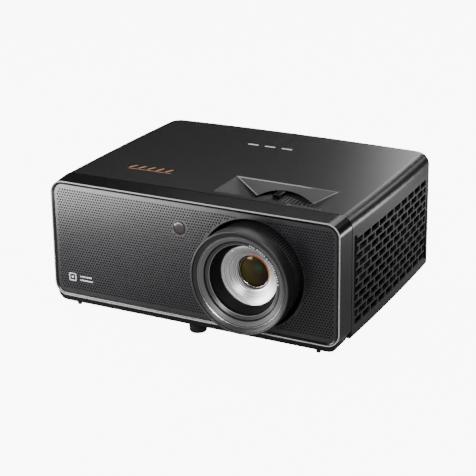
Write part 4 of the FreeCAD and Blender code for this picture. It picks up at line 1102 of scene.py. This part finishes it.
def stage():
    """Floor that curves up behind the object. It is mid-grey, with a white glow that only the camera sees."""
    bend_start, bend_radius = 3.0, 1.5
    half_width = 6.0
    bend = [math.radians(a) for a in range(10, 91, 10)]
    depth = [(-4.0, 0.0), (bend_start, 0.0)]
    depth += [(bend_start + bend_radius * math.sin(a), bend_radius - bend_radius * math.cos(a)) for a in bend]
    depth += [(bend_start + bend_radius, 5.0)]
    vertices = []
    faces = []
    for y, z in depth:
        vertices += [(-half_width, y, z), (half_width, y, z)]
    for i in range(len(depth) - 1):
        faces.append((2 * i, 2 * i + 1, 2 * i + 3, 2 * i + 2))
    floor = mesh_object("studio_floor", vertices, faces)
    material, tree, shader, coords = new_material("studio_paper")
    texture = noise(tree, coords, 3, 2)
    tint = ramp(tree, texture.outputs["Fac"], (0.26, 0.26, 0.26), (0.29, 0.29, 0.29))
    tree.links.new(tint.outputs["Color"], shader.inputs["Base Color"])
    shader.inputs["Roughness"].default_value = 0.9
    path = tree.nodes.new("ShaderNodeLightPath")
    glow = tree.nodes.new("ShaderNodeMapRange")
    glow.inputs["To Max"].default_value = 9.0
    shader.inputs["Emission Color"].default_value = (1, 1, 1, 1)
    tree.links.new(path.outputs["Is Camera Ray"], glow.inputs["Value"])
    tree.links.new(glow.outputs["Result"], shader.inputs["Emission Strength"])
    floor.data.materials.append(material)


def softbox(name, place, target, size, power):
    """A soft rectangular light aimed at a point and hidden from the camera."""
    light = bpy.data.lights.new(name, "AREA")
    light.shape = "RECTANGLE"
    light.size, light.size_y = size
    light.energy = power
    lamp = bpy.data.objects.new(name, light)
    bpy.context.scene.collection.objects.link(lamp)
    lamp.location = place
    lamp.visible_camera = False
    lamp.rotation_euler = (Vector(target) - Vector(place)).to_track_quat("-Z", "Y").to_euler()


def lighting():
    """Dim white surround, dimmer still in reflections, with soft lights around the object."""
    world = bpy.data.worlds.new("studio")
    bpy.context.scene.world = world
    world.use_nodes = True
    surround = world.node_tree.nodes["Background"]
    surround.inputs["Color"].default_value = (1, 1, 1, 1)
    path = world.node_tree.nodes.new("ShaderNodeLightPath")
    level = world.node_tree.nodes.new("ShaderNodeMapRange")
    level.inputs["To Min"].default_value = 0.08
    level.inputs["To Max"].default_value = 0.03
    world.node_tree.links.new(path.outputs["Is Glossy Ray"], level.inputs["Value"])
    world.node_tree.links.new(level.outputs["Result"], surround.inputs["Strength"])
    softbox("rear_box", (-0.48, 3.0, 1.2), (0.1, 0.05, 0.1), (0.8, 0.5), 9)
    softbox("rear_floor_wash", (-0.2, 1.0, 1.3), (-0.2, 0.95, 0), (1.6, 0.8), 11)
    softbox("left_floor_wash", (-1.1, 0.1, 1.1), (-0.95, 0.1, 0), (0.7, 1.2), 10)
    softbox("right_floor_wash", (1.3, 0.5, 1.1), (1.1, 0.45, 0), (0.6, 1.0), 8)
    softbox("lens_side_box", (1.9, -0.4, 1.1), (0.1, 0, 0.08), (0.7, 1.2), 6)
    softbox("rear_right_box", (0.9, 1.9, 1.1), (0.18, 0, 0.16), (0.5, 0.4), 3)
    softbox("front_box", (0.5, -1.9, 1.1), (0.08, -0.15, 0.1), (0.5, 0.3), 30)
    softbox("front_left_box", (-1.05, -1.45, 0.34), (-0.12, -0.13, 0.13), (0.45, 0.35), 5)
    softbox("low_left_box", (-0.29, -0.40, 0.075), (-0.10, -0.135, 0.16), (0.38, 0.06), 1.25)
    softbox("low_right_box", (0.54, 0.44, 0.07), (0.19, -0.12, 0.09), (0.26, 0.12), 0.8)


def camera():
    """The viewpoint in front, to the right and above; focal length and shift are in frame pixels."""
    azimuth, elevation, roll = (math.radians(a) for a in (27.38, 17.87, -0.78))
    distance = 1.6234
    frame_size = 476
    focal_length = 1462.92
    shift = (0.5, -75.47)
    sensor = 36
    target = Vector((64.67 * MM, FACE_Y, 228.45 * MM))
    back = Vector((math.sin(azimuth) * math.cos(elevation), -math.cos(azimuth) * math.cos(elevation),
                   math.sin(elevation)))
    right = (-back).cross(Vector((0, 0, 1))).normalized()
    up = right.cross(-back)
    turned_right = right * math.cos(roll) + up * math.sin(roll)
    turned_up = up * math.cos(roll) - right * math.sin(roll)
    data = bpy.data.cameras.new("camera")
    data.lens = focal_length / frame_size * sensor
    data.sensor_width = sensor
    data.shift_x = shift[0] / frame_size
    data.shift_y = shift[1] / frame_size
    lens = bpy.data.objects.new("camera", data)
    bpy.context.scene.collection.objects.link(lens)
    lens.matrix_world = Matrix((
        (turned_right.x, turned_up.x, back.x, target.x + back.x * distance),
        (turned_right.y, turned_up.y, back.y, target.y + back.y * distance),
        (turned_right.z, turned_up.z, back.z, target.z + back.z * distance),
        (0, 0, 0, 1)))
    bpy.context.scene.camera = lens


case_surfaces()
front_panel()
front_collar()
receiver_window()
side_grille("right")
side_grille("left")
lens_front()
ribbed_ring("focus_grip", "focus_ring", "focus_ring", 120, 1.0 * MM, 2.0 * MM)
ribbed_ring("zoom_grip", "zoom_ring", "zoom_ring", 110, 1.1 * MM, 2.5 * MM)
scale_marks()
recess_lines()
roof_marks()
front_mark()
keys()
feet()
stage()
lighting()
camera()
